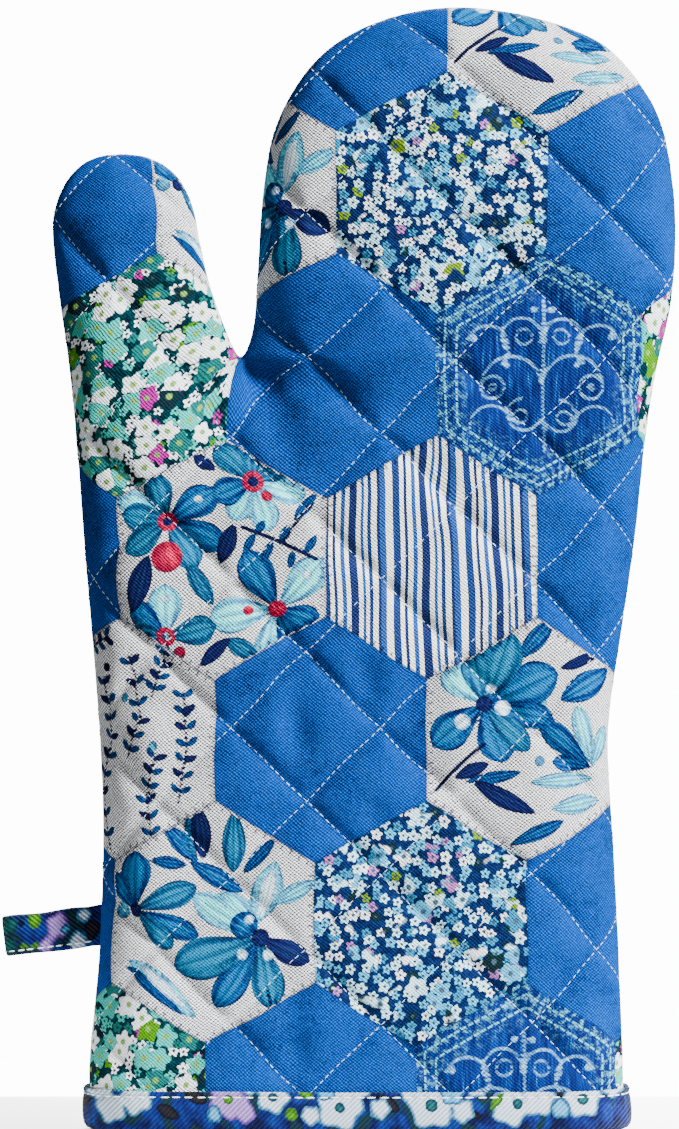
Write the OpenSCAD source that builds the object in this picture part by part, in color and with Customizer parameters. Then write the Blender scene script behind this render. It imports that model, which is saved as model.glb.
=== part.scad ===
// Quilted oven mitt, standing on its cuff.
// X runs across the hand, -Y is the front, Z runs from the cuff to the fingertips.
// Every layer is split at the finger fold and at the thumb fold, where the padded cloth bends.

/* [Mitt] */
// Height from the hem to the fingertips
mitt_h = 330; // [318:1:345]
// Width of the cuff at the hem
cuff_w = 159; // [150:1:168]
// Width of the finger pocket
finger_w = 122; // [114:1:128]
// Width of the thumb pocket
thumb_w = 44.5; // [40:0.5:48]
// Height of the thumb tip
thumb_h = 287; // [276:1:292]
// Height of the crotch between thumb and fingers
crotch_z = 227; // [222:1:230]
// Front to back size of the open cuff
cuff_depth = 52; // [44:1:60]

/* [Layers] */
// Thickness of the printed canvas cover
cover_t = 0.6; // [0.4:0.1:1]
// Thickness of the wadding
padding_t = 5.2; // [4:0.2:6]
// Thickness of the cotton lining
lining_t = 0.6; // [0.4:0.1:1]
// Width of the turned-in, overlocked seam allowance
allowance_w = 6; // [4:0.5:7]

/* [Quilting] */
// Side of the quilted squares
quilt_pitch = 30.5; // [26:0.5:36]
// Width of a line of quilting thread
thread_w = 0.8; // [0.6:0.1:1.2]
// How far the thread stands on the cover
thread_t = 0.4; // [0.3:0.1:0.6]

/* [Binding] */
// Height of the binding on the cuff
binding_h = 12; // [9:0.5:15]
// Thickness of the binding tape
binding_t = 0.9; // [0.6:0.1:1.2]

/* [Hanging loop] */
// Width of the loop's tape
loop_w = 12; // [10:0.5:16]
// Thickness of the folded tape
loop_t = 1.4; // [1:0.1:1.6]
// Reach of the loop from its pivot
loop_reach = 25.7; // [22:0.1:32]
// Width of the gap inside the loop
loop_gap = 6; // [5:0.5:8]
// Height of the middle of the loop
loop_z = 59; // [40:1:80]

/* [Hidden] */

printed_blue = [0.07, 0.38, 0.72];
wadding_white = [0.93, 0.92, 0.88];
lining_cream = [0.88, 0.85, 0.77];
thread_white = [0.95, 0.96, 0.98];
tape_blue = [0.12, 0.42, 0.70];

big = 1000;              // larger than the mitt in every direction
clear = 0.2;             // each side of a fold stays this far from its plane
hem_z = 1.2;             // the layers stop here, inside the fold of the binding
fullness = 2.25;         // exponent of the oval sections, 2 being an ellipse
dome_power = 2.3;        // exponent of the rounded fingertips
hand_sides = 32;         // corners of a section of the hand, and of the binding
thumb_sides = 24;        // corners of a section of the thumb
stitches_a_flat = 3;     // stitches of the binding on each flat of its outline

// Depths of the four nested surfaces below the outside of the mitt
under_cover = cover_t;
under_padding = cover_t + padding_t;
under_lining = cover_t + padding_t + lining_t;

// Places that the outline is built from
cuff_x = 6.5;                    // middle of the cuff
cuff_left = cuff_x - cuff_w / 2;
cuff_right = cuff_x + cuff_w / 2;
finger_x = 38.3;                 // middle of the finger pocket
finger_left = finger_x - finger_w / 2;
finger_right = finger_x + finger_w / 2;
finger_base_z = mitt_h - 60;     // the fingertips start to round off here
crotch_x = -28.7;
thumb_x = -62.5;                 // middle of the thumb pocket near its tip
thumb_left = thumb_x - thumb_w / 2;
thumb_right = thumb_x + thumb_w / 2;
thumb_base_z = thumb_h - 23;     // the thumb's tip starts to round off here
cuff_half = cuff_depth / 2;

// Smooth edges of the hand and of the thumb, as [z, x], and their half depths, as [z, y]
hand_left = [[-2, cuff_left], [binding_h, cuff_left], [60, cuff_left + 2.3], [112, cuff_left + 2],
    [150, cuff_left + 2], [190, -52], [crotch_z, crotch_x], [244, finger_left - 1.8],
    [finger_base_z, finger_left]];
hand_right = [[-2, cuff_right], [binding_h, cuff_right], [60, cuff_right - 3.5], [112, cuff_right - 5.5],
    [150, cuff_right - 1.5], [200, cuff_right + 4.5], [crotch_z, cuff_right + 8.5],
    [248, finger_right - 0.3], [finger_base_z, finger_right]];
hand_half = [[-2, cuff_half], [binding_h, cuff_half], [60, cuff_half - 1], [130, cuff_half - 2.5],
    [200, cuff_half - 5], [238, cuff_half - 6.5], [finger_base_z, cuff_half - 8]];
thumb_left_edge = [[105, cuff_left + 3.5], [140, cuff_left + 0.6], [175, cuff_left - 3], [210, cuff_left - 5.8],
    [236, cuff_left - 9.2], [252, thumb_left + 0.2], [thumb_base_z, thumb_left]];
thumb_right_edge = [[105, -38], [140, -30], [175, -22], [210, -24.5], [crotch_z, crotch_x],
    [240, crotch_x - 6], [254, thumb_right - 1], [thumb_base_z, thumb_right]];
thumb_half = [[105, 12], [140, 16], [175, 17.5], [210, 17], [240, 16], [thumb_base_z, 15.2]];

hand_levels = [-2, binding_h, 40, 75, 112, 150, 175, 200, 227, 238, 254, finger_base_z];
thumb_levels = [105, 140, 165, 190, 212, 232, 250, thumb_base_z];
dome_steps = [16, 32, 48, 63, 76, 86];

// Folds: the fingers bend across the hand, the thumb along a line above the crotch
fold_z = 252;
pocket_gap_x = crotch_x - 1.3;         // between the thumb and the fingers
thumb_fold_start = [crotch_x - 5, crotch_z + 10];
thumb_fold_dir = [-0.577, -0.817];     // down to the side seam
thumb_fold_normal = [thumb_fold_dir[1], -thumb_fold_dir[0]];  // towards the thumb

// Quilting lines cross at this point, at 45 degrees to the cuff
quilt_origin = [-9.5, 225];
quilt_lines = 9;

// The loop swings about a line just outside the side seam
loop_axis_x = -73;
loop_tilt = 7;
loop_end_r = loop_gap / 2 + loop_t;
stitch_t = 0.3;

// Index of the stretch of p that z is in
function stretch(p, z, i = 0) = (i >= len(p) - 2 || z < p[i + 1][0]) ? i : stretch(p, z, i + 1);

// Slope of the smooth curve at point i of p
function slope(p, i) =
    let (a = max(i - 1, 0), b = min(i + 1, len(p) - 1))
    (p[b][1] - p[a][1]) / (p[b][0] - p[a][0]);

// Value at z of the smooth curve through the points p
function curve(p, z) =
    let (i = stretch(p, z),
         h = p[i + 1][0] - p[i][0],
         t = (z - p[i][0]) / h,
         m0 = slope(p, i) * h,
         m1 = slope(p, i + 1) * h)
    (2 * t ^ 3 - 3 * t ^ 2 + 1) * p[i][1] + (t ^ 3 - 2 * t ^ 2 + t) * m0
    + (3 * t ^ 2 - 2 * t ^ 3) * p[i + 1][1] + (t ^ 3 - t ^ 2) * m1;

function rounded(v, power) = sign(v) * pow(abs(v), 2 / power);

// One oval section, n corners, centred on x
function oval(x, half_w, half_d, z, n) =
    [for (i = [0 : n - 1])
        let (a = 360 * i / n)
        [x + half_w * rounded(cos(a), fullness), half_d * rounded(sin(a), fullness), z]];

// Sections of a pocket, all of it inset by depth, with a domed end
function pocket(left, right, half, levels, tip_z, depth, n) =
    let (base = levels[len(levels) - 1],
         x = (curve(left, base) + curve(right, base)) / 2,
         w = (curve(right, base) - curve(left, base)) / 2,
         d = curve(half, base))
    concat(
        [for (z = levels)
            let (l = curve(left, z), r = curve(right, z))
            oval((l + r) / 2, (r - l) / 2 - depth, curve(half, z) - depth, z, n)],
        [for (a = dome_steps)
            oval(x, (w - depth) * rounded(cos(a), dome_power), (d - depth) * cos(a),
                 base + (tip_z - base - depth) * rounded(sin(a), dome_power), n)]);

// Closed skin over a stack of sections with n corners each
module loft(sections) {
    n = len(sections[0]);
    rows = len(sections);
    points = [for (s = sections) for (p = s) p];
    sides = [for (r = [0 : rows - 2]) for (i = [0 : n - 1])
        let (j = (i + 1) % n)
        each [[r * n + i, (r + 1) * n + i, (r + 1) * n + j], [r * n + i, (r + 1) * n + j, r * n + j]]];
    foot = [for (i = [0 : n - 1]) i];
    cap = [for (i = [n - 1 : -1 : 0]) (rows - 1) * n + i];
    polyhedron(points, concat(sides, [foot, cap]), convexity = 6);
}

// The mitt's outside, inset by depth
module mitt_form(depth) {
    loft(pocket(hand_left, hand_right, hand_half, hand_levels, mitt_h, depth, hand_sides));
    loft(pocket(thumb_left_edge, thumb_right_edge, thumb_half, thumb_levels, thumb_h, depth, thumb_sides));
}

// Flat outline in X and Z, cut through the whole depth of the mitt
module through(points) {
    rotate([90, 0, 0]) linear_extrude(big, center = true) polygon(points);
}

// Place on the thumb's fold, moved off it by gap towards the thumb
function on_thumb_fold(along, gap) = thumb_fold_start + along * thumb_fold_dir + gap * thumb_fold_normal;

// Where the fold, moved by gap, meets the gap between the pockets
function fold_at_pocket_gap(gap) =
    on_thumb_fold((pocket_gap_x - on_thumb_fold(0, gap)[0]) / thumb_fold_dir[0], gap);

// The part of the mitt that moves as one: hand, fingers or thumb
module region(name) {
    far = big / 2;
    if (name == "hand")
        through([[-big, hem_z], [big, hem_z], [big, fold_z - clear], [pocket_gap_x, fold_z - clear],
                 fold_at_pocket_gap(-clear), on_thumb_fold(far, -clear), [-big, on_thumb_fold(far, 0)[1]]]);
    if (name == "fingers")
        through([[pocket_gap_x, fold_z + clear], [big, fold_z + clear], [big, big], [pocket_gap_x, big]]);
    if (name == "thumb")
        through([fold_at_pocket_gap(clear), on_thumb_fold(far, clear), [-big, on_thumb_fold(far, 0)[1]],
                 [-big, big], [pocket_gap_x, big]]);
}

// Front half or back half of everything
module half(side) {
    translate([-big / 2, side == "front" ? -big : 0, -big / 2]) cube(big);
}

// Slot in the side seam that holds the loop's ends
module loop_slot() {
    at_loop() translate([-4, -loop_t, -loop_w / 2]) cube([14, 2 * loop_t, loop_w]);
}

// One layer of one side, between two depths, in one region
module layer(side, name, outer_depth, inner_depth) {
    intersection() {
        difference() {
            mitt_form(outer_depth);
            mitt_form(inner_depth);
            if (name == "hand") loop_slot();
        }
        half(side);
        region(name);
    }
}

module cover(side, name) { color(printed_blue) layer(side, name, 0, under_cover); }
module padding(side, name) { color(wadding_white) layer(side, name, under_cover, under_padding); }
module lining(side, name) { color(lining_cream) layer(side, name, under_padding, under_lining); }

// Lattice of quilting lines, seen from the front
module quilt_lattice() {
    rotate([90, 0, 0]) linear_extrude(big, center = true)
        translate(quilt_origin)
        for (turn = [45, -45], i = [-quilt_lines : quilt_lines])
            rotate(turn) translate([-big / 2, i * quilt_pitch - thread_w / 2]) square([big, thread_w]);
}

// Quilting thread lying on the cover, above the binding
module quilting(side, name) {
    color(thread_white)
    intersection() {
        difference() {
            mitt_form(-thread_t);
            mitt_form(0);
            translate([-big / 2, -big / 2, -big]) cube([big, big, big + binding_h]);
            translate([-big / 2, -3, -big / 2]) cube([big, 6, big]);
        }
        half(side);
        region(name);
        quilt_lattice();
    }
}

// Seam allowance turned to the inside and bound with overlock thread
module overlocked_seam(name) {
    color(thread_white)
    intersection() {
        difference() {
            mitt_form(under_lining);
            mitt_form(under_lining + allowance_w);
            translate([-big / 2, -big / 2, -big]) cube([big, big, big + binding_h + 0.5]);
            if (name == "hand") loop_slot();
        }
        translate([-big / 2, -1, -big / 2]) cube([big, 2, big]);
        region(name);
    }
}

// Corners of the cuff's outline, moved out by grow
function cuff_outline(grow) =
    [for (p = oval(cuff_x, cuff_w / 2 + grow, cuff_half + grow, 0, hand_sides)) [p[0], p[1]]];

// Bias tape folded over the raw edge of the cuff, outside and inside
module cuff_binding() {
    color(tape_blue)
    difference() {
        linear_extrude(binding_h) polygon(cuff_outline(binding_t));
        translate([0, 0, -1]) linear_extrude(binding_h + 2) polygon(cuff_outline(-under_lining - binding_t));
        translate([0, 0, hem_z]) linear_extrude(binding_h) difference() {
            polygon(cuff_outline(0.05));
            polygon(cuff_outline(-under_lining - 0.05));
        }
    }
}

// Row of stitches near the top edge of the binding
module binding_topstitch() {
    edge = cuff_outline(binding_t);
    color(thread_white)
    for (i = [0 : hand_sides - 1]) {
        a = edge[i];
        along = edge[(i + 1) % hand_sides] - a;
        pitch = norm(along) / stitches_a_flat;
        translate([a[0], a[1], binding_h - 1.2]) rotate(atan2(along[1], along[0]))
            for (k = [0 : stitches_a_flat - 1])
                translate([(k + 0.2) * pitch, -stitch_t, -0.3]) cube([0.6 * pitch, stitch_t, 0.6]);
    }
}

// Places a piece at the loop's pivot, with +X into the mitt
module at_loop() {
    translate([loop_axis_x, 0, loop_z]) rotate([0, -loop_tilt, 0]) children();
}

// Drop shape from the pivot to the loop's round end
module drop(end_r, root) {
    end_x = -loop_reach + loop_end_r;
    union() {
        translate([end_x, 0]) circle(r = end_r, $fn = 48);
        polygon([[end_x, end_r], [end_x, -end_r], [0, -root], [0, root]]);
    }
}

// Tape folded back on itself, its two ends meeting at the side seam
module hanging_loop() {
    color(tape_blue)
    at_loop() translate([0, 0, -loop_w / 2]) {
        linear_extrude(loop_w) difference() {
            union() {
                drop(loop_end_r, loop_t);
                circle(r = loop_t, $fn = 32);
            }
            difference() {
                drop(loop_gap / 2, 0.2);
                translate([-4, -loop_gap]) square([8, 2 * loop_gap]);
            }
        }
    }
}

// Stitches along the lower edge of the tape's front leg
module loop_edge_stitch() {
    leg = loop_reach - loop_end_r;
    lean = atan2(loop_end_r - loop_t, leg);
    color(thread_white)
    at_loop() rotate([0, 0, lean]) for (x = [-leg + 1.5 : 3 : -3])
        translate([x, -loop_t * cos(lean) - stitch_t, -loop_w / 2 + 1.2]) cube([2, stitch_t, 0.6]);
}

// The loop's two ends, held between front and back in the side seam
module loop_sewn_ends() {
    color(tape_blue)
    at_loop() translate([loop_t + 0.3, -loop_t + 0.02, -loop_w / 2 + 0.02])
        cube([8, 2 * loop_t - 0.04, loop_w - 0.04]);
}

for (side = ["front", "back"], name = ["hand", "fingers", "thumb"]) {
    cover(side, name);
    padding(side, name);
    lining(side, name);
    quilting(side, name);
}
for (name = ["hand", "fingers", "thumb"])
    overlocked_seam(name);
cuff_binding();
binding_topstitch();
hanging_loop();
loop_edge_stitch();
loop_sewn_ends();
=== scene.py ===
import math

import bmesh
import bpy
import numpy as np
from mathutils import Matrix, Vector, noise


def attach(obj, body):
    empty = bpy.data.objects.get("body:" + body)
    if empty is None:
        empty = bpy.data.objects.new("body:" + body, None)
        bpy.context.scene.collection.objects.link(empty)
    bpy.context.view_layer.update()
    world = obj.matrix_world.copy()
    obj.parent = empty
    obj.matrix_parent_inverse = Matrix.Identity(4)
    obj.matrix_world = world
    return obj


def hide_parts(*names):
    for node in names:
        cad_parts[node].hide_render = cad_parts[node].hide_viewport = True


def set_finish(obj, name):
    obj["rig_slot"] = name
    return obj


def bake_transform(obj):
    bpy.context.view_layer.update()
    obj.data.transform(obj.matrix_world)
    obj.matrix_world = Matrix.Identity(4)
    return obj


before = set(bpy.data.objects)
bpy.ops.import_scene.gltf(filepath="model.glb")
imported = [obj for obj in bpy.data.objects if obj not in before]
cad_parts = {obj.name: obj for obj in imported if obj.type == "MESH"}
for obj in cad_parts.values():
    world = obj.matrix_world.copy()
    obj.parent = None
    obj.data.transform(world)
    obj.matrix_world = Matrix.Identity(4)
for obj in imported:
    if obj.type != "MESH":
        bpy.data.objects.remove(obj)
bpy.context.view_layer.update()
mm = 0.001

# flat pattern: an outline for the side seam, in mm across and up from the hem
outline = {
    "thumbSide": [(-73.6, -24), (-73.6, 0), (-73.9, 20), (-71, 52), (-69.9, 90), (-71.6, 125), (-75, 165),
                  (-79, 214), (-82.6, 242), (-84.7, 260), (-84.2, 270), (-79.9, 279.5), (-73, 285.2),
                  (-64, 286.9), (-54.5, 285.4), (-46.6, 280), (-42, 271), (-39.6, 259), (-36.6, 246.5),
                  (-32.4, 235), (-28.7, 226.8)],
    "fingerSide": [(-28.7, 226.8), (-25.6, 236), (-24.2, 252), (-22.9, 272), (-20.2, 290), (-15.4, 302.5),
                   (-7.5, 313.8), (3, 321.8), (17, 327.4), (33, 329.8), (49, 328.6), (64, 325),
                   (78.5, 318.6), (89, 307.3), (96, 294), (99, 277), (99.8, 260), (98.3, 241), (94.2, 223),
                   (91, 203), (87.8, 173), (84.2, 148), (80.6, 124), (79.9, 110), (81.2, 88), (82.6, 62),
                   (84, 28), (84.8, 0), (85.2, -24)],
    "step": 0.25,
}
shell = {
    "round": 20.5,        # how far in from the seam the side of the mitt is round
    "depth": 20.0,        # half depth that the round side is worked out for
    "fullness": 2.25,
    "groove": 1.0,        # how far the seam is drawn in
    "hem": 1.5,
    "crotch": (-28.7, 226.8),
    "thumbWay": (-0.817, 0.577),   # from the crotch towards the thumb's tip
    "heights": [0, 12, 60, 130, 200, 240, 275, 330],
    "halfDepths": [24.6, 24.4, 23.4, 22, 19.8, 18.4, 17.2, 16],   # of the hand, at those heights
    "thumbHalf": 15.2,
    "pinch": 0.42,        # how much flatter the mitt is at the crotch
    "pinchReach": 24,
    "dome": 0.07,         # how much fuller the middle is
}
quilt = {
    "origin": (-9.6, 225.5),      # a crossing of two quilting lines
    "across": 22.0, "up": 21.5,   # half diagonals of a quilted diamond
    "cells": 16,                  # mesh cells along a diamond's side
    "reach": 136,                 # cells from the origin to the edge of the raw cloth
    "inset": 3.9,                 # depth of a quilting groove below the smooth shell
}


def spline(points, step):   # smooth curve through the points, as evenly spaced places
    p = np.array(points, float)
    p = np.vstack([2 * p[0] - p[1], p, 2 * p[-1] - p[-2]])
    out = []
    for a, b, c, d in zip(p[:-3], p[1:-2], p[2:-1], p[3:]):
        count = max(int(np.linalg.norm(c - b) / step), 1)
        t = (np.arange(count) / count)[:, None]
        out.append(b + 0.5 * t * (c - a + t * (2 * a - 5 * b + 4 * c - d + t * (3 * (b - c) + d - a))))
    return np.vstack(out + [p[-2:-1]])


def smoothStep(x, low, high):
    t = np.clip((x - low) / (high - low), 0, 1)
    return t * t * (3 - 2 * t)


seamLine = np.vstack([spline(outline["thumbSide"], outline["step"])[:-1],
                      spline(outline["fingerSide"], outline["step"])])
tangent = np.gradient(seamLine, axis=0)
tangent /= np.linalg.norm(tangent, axis=1)[:, None]
inward = np.stack([tangent[:, 1], -tangent[:, 0]], axis=1)


def nearestSeam(p):   # index of the closest place on the seam line, and the distance outside it
    index = np.empty(len(p), int)
    for k in range(0, len(p), 4000):
        d = p[k:k + 4000, None, :] - seamLine[None, ::4, :]
        index[k:k + 4000] = 4 * np.argmin((d ** 2).sum(axis=2), axis=1)
    best = np.full(len(p), np.inf)
    found = index.copy()
    for shift in range(-4, 5):
        k = np.clip(index + shift, 0, len(seamLine) - 1)
        d = ((p - seamLine[k]) ** 2).sum(axis=1)
        found = np.where(d < best, k, found)
        best = np.minimum(d, best)
    away = p - seamLine[found]
    side = (away * inward[found]).sum(axis=1)
    return found, np.where(side > 0, -1, 1) * np.sqrt(best)


# the round side of the mitt as a curve: along the cloth, in from the seam, and out from the middle plane
turn = np.linspace(0, math.pi / 2, 400)
power = 2 / shell["fullness"]
inFromSeam = shell["round"] * (1 - np.cos(turn) ** power)
outFromMiddle = shell["depth"] * np.sin(turn) ** power
alongCloth = np.concatenate([[0], np.cumsum(np.hypot(np.diff(inFromSeam), np.diff(outFromMiddle)))])
roundLength = alongCloth[-1]
spare = roundLength - shell["round"]   # cloth past the seam line that the round side takes up
crotch = np.array(shell["crotch"])
crotchIndex = len(spline(outline["thumbSide"], outline["step"])) - 1


def pastThumbFold(p):   # distance past the crotch towards the thumb's tip, in mm
    return (p - crotch) @ np.array(shell["thumbWay"])


def halfDepth(p):
    hand = np.interp(p[:, 1], shell["heights"], shell["halfDepths"])
    thumb = smoothStep(pastThumbFold(p), -22, 26) * smoothStep(-p[:, 0], 18, 34)
    depth = hand + (shell["thumbHalf"] - hand) * thumb
    fromCrotch = ((p - crotch) ** 2).sum(axis=1)
    return depth * (1 - shell["pinch"] * np.exp(-fromCrotch / shell["pinchReach"] ** 2))


def shellPlace(p):   # flat cloth place to a place on the mitt's front, in mm
    near, outside = nearestSeam(p)
    q = seamLine[near]
    fromCrotch = np.linalg.norm(q - crotch, axis=1)
    room = np.minimum(spare, 1.3 * np.sqrt(fromCrotch + 0.15))
    share = (room - outside) / (room + shell["round"])
    along = np.clip(share, 0, 1) * roundLength
    deep = np.interp(along, alongCloth, inFromSeam)
    out = np.interp(along, alongCloth, outFromMiddle) / shell["depth"]
    direction = p - q
    length = np.linalg.norm(direction, axis=1)
    direction = np.where((length > 0.6)[:, None], direction / np.maximum(length, 1e-9)[:, None]
                         * np.where(outside > 0, -1, 1)[:, None], inward[near])
    deep = deep + shell["groove"] * np.exp(-(along / 2.2) ** 2)
    place = np.where((share >= 1)[:, None], p, q + direction * deep[:, None])
    dome = 1 + shell["dome"] * smoothStep(-outside, shell["round"] - 6, shell["round"] + 34)
    depth = halfDepth(p) * out * dome
    return place, depth, along, outside - room


print("flat pattern:", len(seamLine), "places,", round(float(spare), 1), "mm to spare at the sides")


# raw cloth: a grid whose lines run along the quilting, cut at the hem and at the seam
def rawCloth():
    bm = bmesh.new()
    n = 2 * quilt["reach"]
    bmesh.ops.create_grid(bm, x_segments=n, y_segments=n, size=quilt["reach"])
    a, u = quilt["across"] / quilt["cells"], quilt["up"] / quilt["cells"]
    lattice = Matrix(((a, a, 0, quilt["origin"][0]), (u, -u, 0, quilt["origin"][1]), (0, 0, 1, 0),
                      (0, 0, 0, 1)))
    bmesh.ops.transform(bm, matrix=lattice, verts=bm.verts)
    far = [v for v in bm.verts if abs(v.co.x) > 125 or v.co.y > 360 or v.co.y < shell["hem"] - 4]
    bmesh.ops.delete(bm, geom=far, context="VERTS")
    bmesh.ops.bisect_plane(bm, geom=bm.verts[:] + bm.edges[:] + bm.faces[:], plane_co=(0, shell["hem"], 0),
                           plane_no=(0, -1, 0), clear_outer=True)
    flat = np.array([v.co[:2] for v in bm.verts])
    across, up = (flat[:, 0] - quilt["origin"][0]) / a, (flat[:, 1] - quilt["origin"][1]) / u
    i, j = (across + up) / 2, (across - up) / 2
    flat[:, 0] += 9 * smoothStep(flat[:, 1], 200, 250) * smoothStep(-flat[:, 0], 22, 44)
    outside = shellPlace(flat)[3]
    thumb = nearestSeam(flat)[0] < crotchIndex
    for v, p in zip(bm.verts, flat):
        v.co = (p[0], p[1], 0)
    bm.verts.index_update()
    tags = bm.verts.layers.float_vector.new("lattice")
    for v in bm.verts:
        v[tags] = (i[v.index], j[v.index], thumb[v.index])
    bmesh.ops.delete(bm, geom=[v for v in bm.verts if outside[v.index] > 0.7], context="VERTS")
    torn = [f for f in bm.faces if len({v[tags][2] for v in f.verts}) > 1
            and min(v.co.y for v in f.verts) > crotch[1]]
    bmesh.ops.delete(bm, geom=torn, context="FACES")
    loose = [v for v in bm.verts if not v.link_faces]
    bmesh.ops.delete(bm, geom=loose, context="VERTS")
    return bm, tags


allWays = {"use_axis_x": True, "use_axis_y": True, "use_axis_z": True}


def lumps(p, size, seed):   # smooth noise over flat places
    return np.array([noise.noise((x / size + seed, y / size - seed, seed)) for x, y in p])


folds = [   # soft creases in the cloth: two ends, depth and width, in mm
    ((-27, 220), (2, 176), 3.0, 7), ((-31, 216), (-40, 168), 2.4, 7), ((-22, 221), (34, 206), 2.6, 6),
    ((-12, 152), (-10, 96), 2.0, 6), ((24, 150), (26, 92), 2.0, 7), ((-15, 52), (-12, 14), 1.8, 6),
    ((6, 142), (12, 121), 2.2, 4), ((-14, 127), (-11, 108), 2.0, 4), ((9, 99), (12, 86), 1.8, 4),
    ((-14, 30), (-11, 14), 1.8, 4),
    ((48, 236), (58, 219), 2.2, 5), ((24, 202), (40, 175), 1.8, 5), ((-60, 131), (-40, 115), 1.6, 5),
    ((-24, 219), (-13, 207), 2.4, 4),
    ((60, 130), (74, 84), 1.6, 7), ((40, 252), (84, 238), 1.5, 7), ((-56, 150), (-68, 100), 1.6, 7),
]


def creases(p):
    sunk = np.zeros(len(p))
    for a, b, depth, width in folds:
        a, b = np.array(a, float), np.array(b, float)
        t = np.clip(((p - a) @ (b - a)) / ((b - a) @ (b - a)), 0, 1)
        d = np.linalg.norm(p - a - t[:, None] * (b - a), axis=1)
        fromCrotch = np.linalg.norm(a - crotch) < 14
        taper = np.cos(t * math.pi / 2) if fromCrotch else np.sin(t * math.pi)
        sunk += depth * np.exp(-(d / width) ** 2) * taper
    return sunk


def makeFront():   # the quilted front as arrays: flat places, places in mm, lattice coordinates, and its mesh
    bm, tags = rawCloth()
    bm.verts.index_update()
    flat = np.array([v.co[:2] for v in bm.verts])
    lattice = np.array([v[tags][:2] for v in bm.verts])
    hem = flat[:, 1] < shell["hem"] + 0.01
    onHem = hem & np.array([len(v.link_faces) == 2 for v in bm.verts])
    edge = np.array([v.is_boundary for v in bm.verts]) & ~onHem
    place, depth, along, _ = shellPlace(flat)
    near, _ = nearestSeam(flat)
    place[edge] = seamLine[near[edge]] + inward[near[edge]] * shell["groove"]
    depth[edge] = 0
    depth[~edge] = np.maximum(depth[~edge], 0.6)
    side = smoothStep(along, 4, 24)
    aboveHem = smoothStep(flat[:, 1], 4, 26)
    softness = side * (0.25 + 0.75 * aboveHem)
    depth -= (creases(flat) * aboveHem + 1.5 * lumps(flat, 46, 3.1)) * side
    wobble = 0.9 * np.stack([lumps(flat, 19, 7.7), lumps(flat, 19, 15.3)], axis=1) * softness[:, None]
    place += wobble
    cells = quilt["cells"]
    toLine = (np.abs(lattice / cells - np.round(lattice / cells)) * cells).min(axis=1)
    return bm, flat, place, depth, lattice, edge, hem, toLine, softness


puff = {   # how the wadding pushes the cloth out between the quilting lines
    "crown": 3.4,         # height of a puff before the cloth is simulated, in mm
    "cap": 5.5,           # most that the simulation may move a place, in mm
    "pressure": 300,
    "extra": -0.032,      # how much larger the cloth is than the space it is sewn into, as a shrink factor
    "frames": 20,
    "stiff": 12,
    "bend": 0.4,
    "mass": 0.15,
}


def stitchedCloth():   # the front after the wadding has puffed it up between the quilting lines
    bm, flat, place, depth, lattice, edge, hem, toLine, softness = makeFront()
    for v, p, d in zip(bm.verts, place, depth):
        v.co = (p[0] * mm, -d * mm, p[1] * mm)
    fixed = {v for v in bm.verts if v.is_boundary}
    nearEdge = [v for v, s in zip(bm.verts, softness) if s < 0.05 and v not in fixed]
    for _ in range(12):
        bmesh.ops.smooth_vert(bm, verts=nearEdge, factor=0.5, **allWays)
    bm.normal_update()
    if sum(f.normal.y for f in bm.faces) > 0:
        bmesh.ops.reverse_faces(bm, faces=bm.faces)
    bm.normal_update()
    crown = np.sqrt(1 - (1 - np.clip(toLine / 8, 0, 1)) ** 2)
    lift = (puff["crown"] * crown - quilt["inset"]) * softness
    under = bm.verts.layers.float_vector.new("under")       # the smooth surface before quilting
    outward = bm.verts.layers.float_vector.new("outward")
    sewn = bm.verts.layers.float_vector.new("sewn")         # softness, and how near a quilting line
    pattern = bm.verts.layers.float_vector.new("flat")      # place on the cloth as cut
    for v, g, s, c, p in zip(bm.verts, lift, softness, crown, flat):
        v[under] = v.co
        v[outward] = v.normal
        v[sewn] = (s, c, 0)
        v[pattern] = (p[0], p[1], 0)
        v.co += v.normal * float(g) * mm
    mesh = bpy.data.meshes.new("puffedCloth")
    bm.to_mesh(mesh)
    cloth = bpy.data.objects.new("puffedCloth", mesh)
    bpy.context.collection.objects.link(cloth)
    base = np.array([v.co for v in mesh.vertices])
    puffUp(cloth, (toLine < 0.3) | edge | hem, base)
    bm.free()
    return cloth


def puffUp(cloth, pinned, base):
    group = cloth.vertex_groups.new(name="sewn")
    group.add([int(k) for k in np.nonzero(pinned)[0]], 1, "REPLACE")
    sim = cloth.modifiers.new("puff", "CLOTH")
    s = sim.settings
    s.vertex_group_mass = "sewn"
    s.quality = 5
    s.mass = puff["mass"]
    s.use_pressure = True
    s.uniform_pressure_force = puff["pressure"]
    s.shrink_min = puff["extra"]
    s.tension_stiffness = s.compression_stiffness = puff["stiff"]
    s.shear_stiffness = 4
    s.bending_stiffness = puff["bend"]
    s.effector_weights.gravity = 0
    sim.collision_settings.use_collision = False
    scene = bpy.context.scene
    for k in range(1, puff["frames"] + 1):
        scene.frame_set(k)
    done = cloth.evaluated_get(bpy.context.evaluated_depsgraph_get()).to_mesh()
    moved = np.array([v.co for v in done.vertices])
    cloth.modifiers.clear()
    scene.frame_set(1)
    step = moved - base
    length = np.linalg.norm(step, axis=1)
    print("puffed: mean", round(float(length.mean() / mm), 2), "mm, most",
          round(float(length.max() / mm), 2), "mm")
    limit = puff["cap"] * mm
    step *= (limit * np.tanh(length / limit) / np.maximum(length, 1e-9))[:, None]
    cloth.data.vertices.foreach_set("co", (base + step).ravel())
    cloth.data.update()


def addAttribute(mesh, name, values, kind="FLOAT"):
    layer = mesh.attributes.new(name, kind, "POINT")
    layer.data.foreach_set("vector" if kind == "FLOAT_VECTOR" else "value",
                           np.asarray(values, np.float32).ravel())


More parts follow.
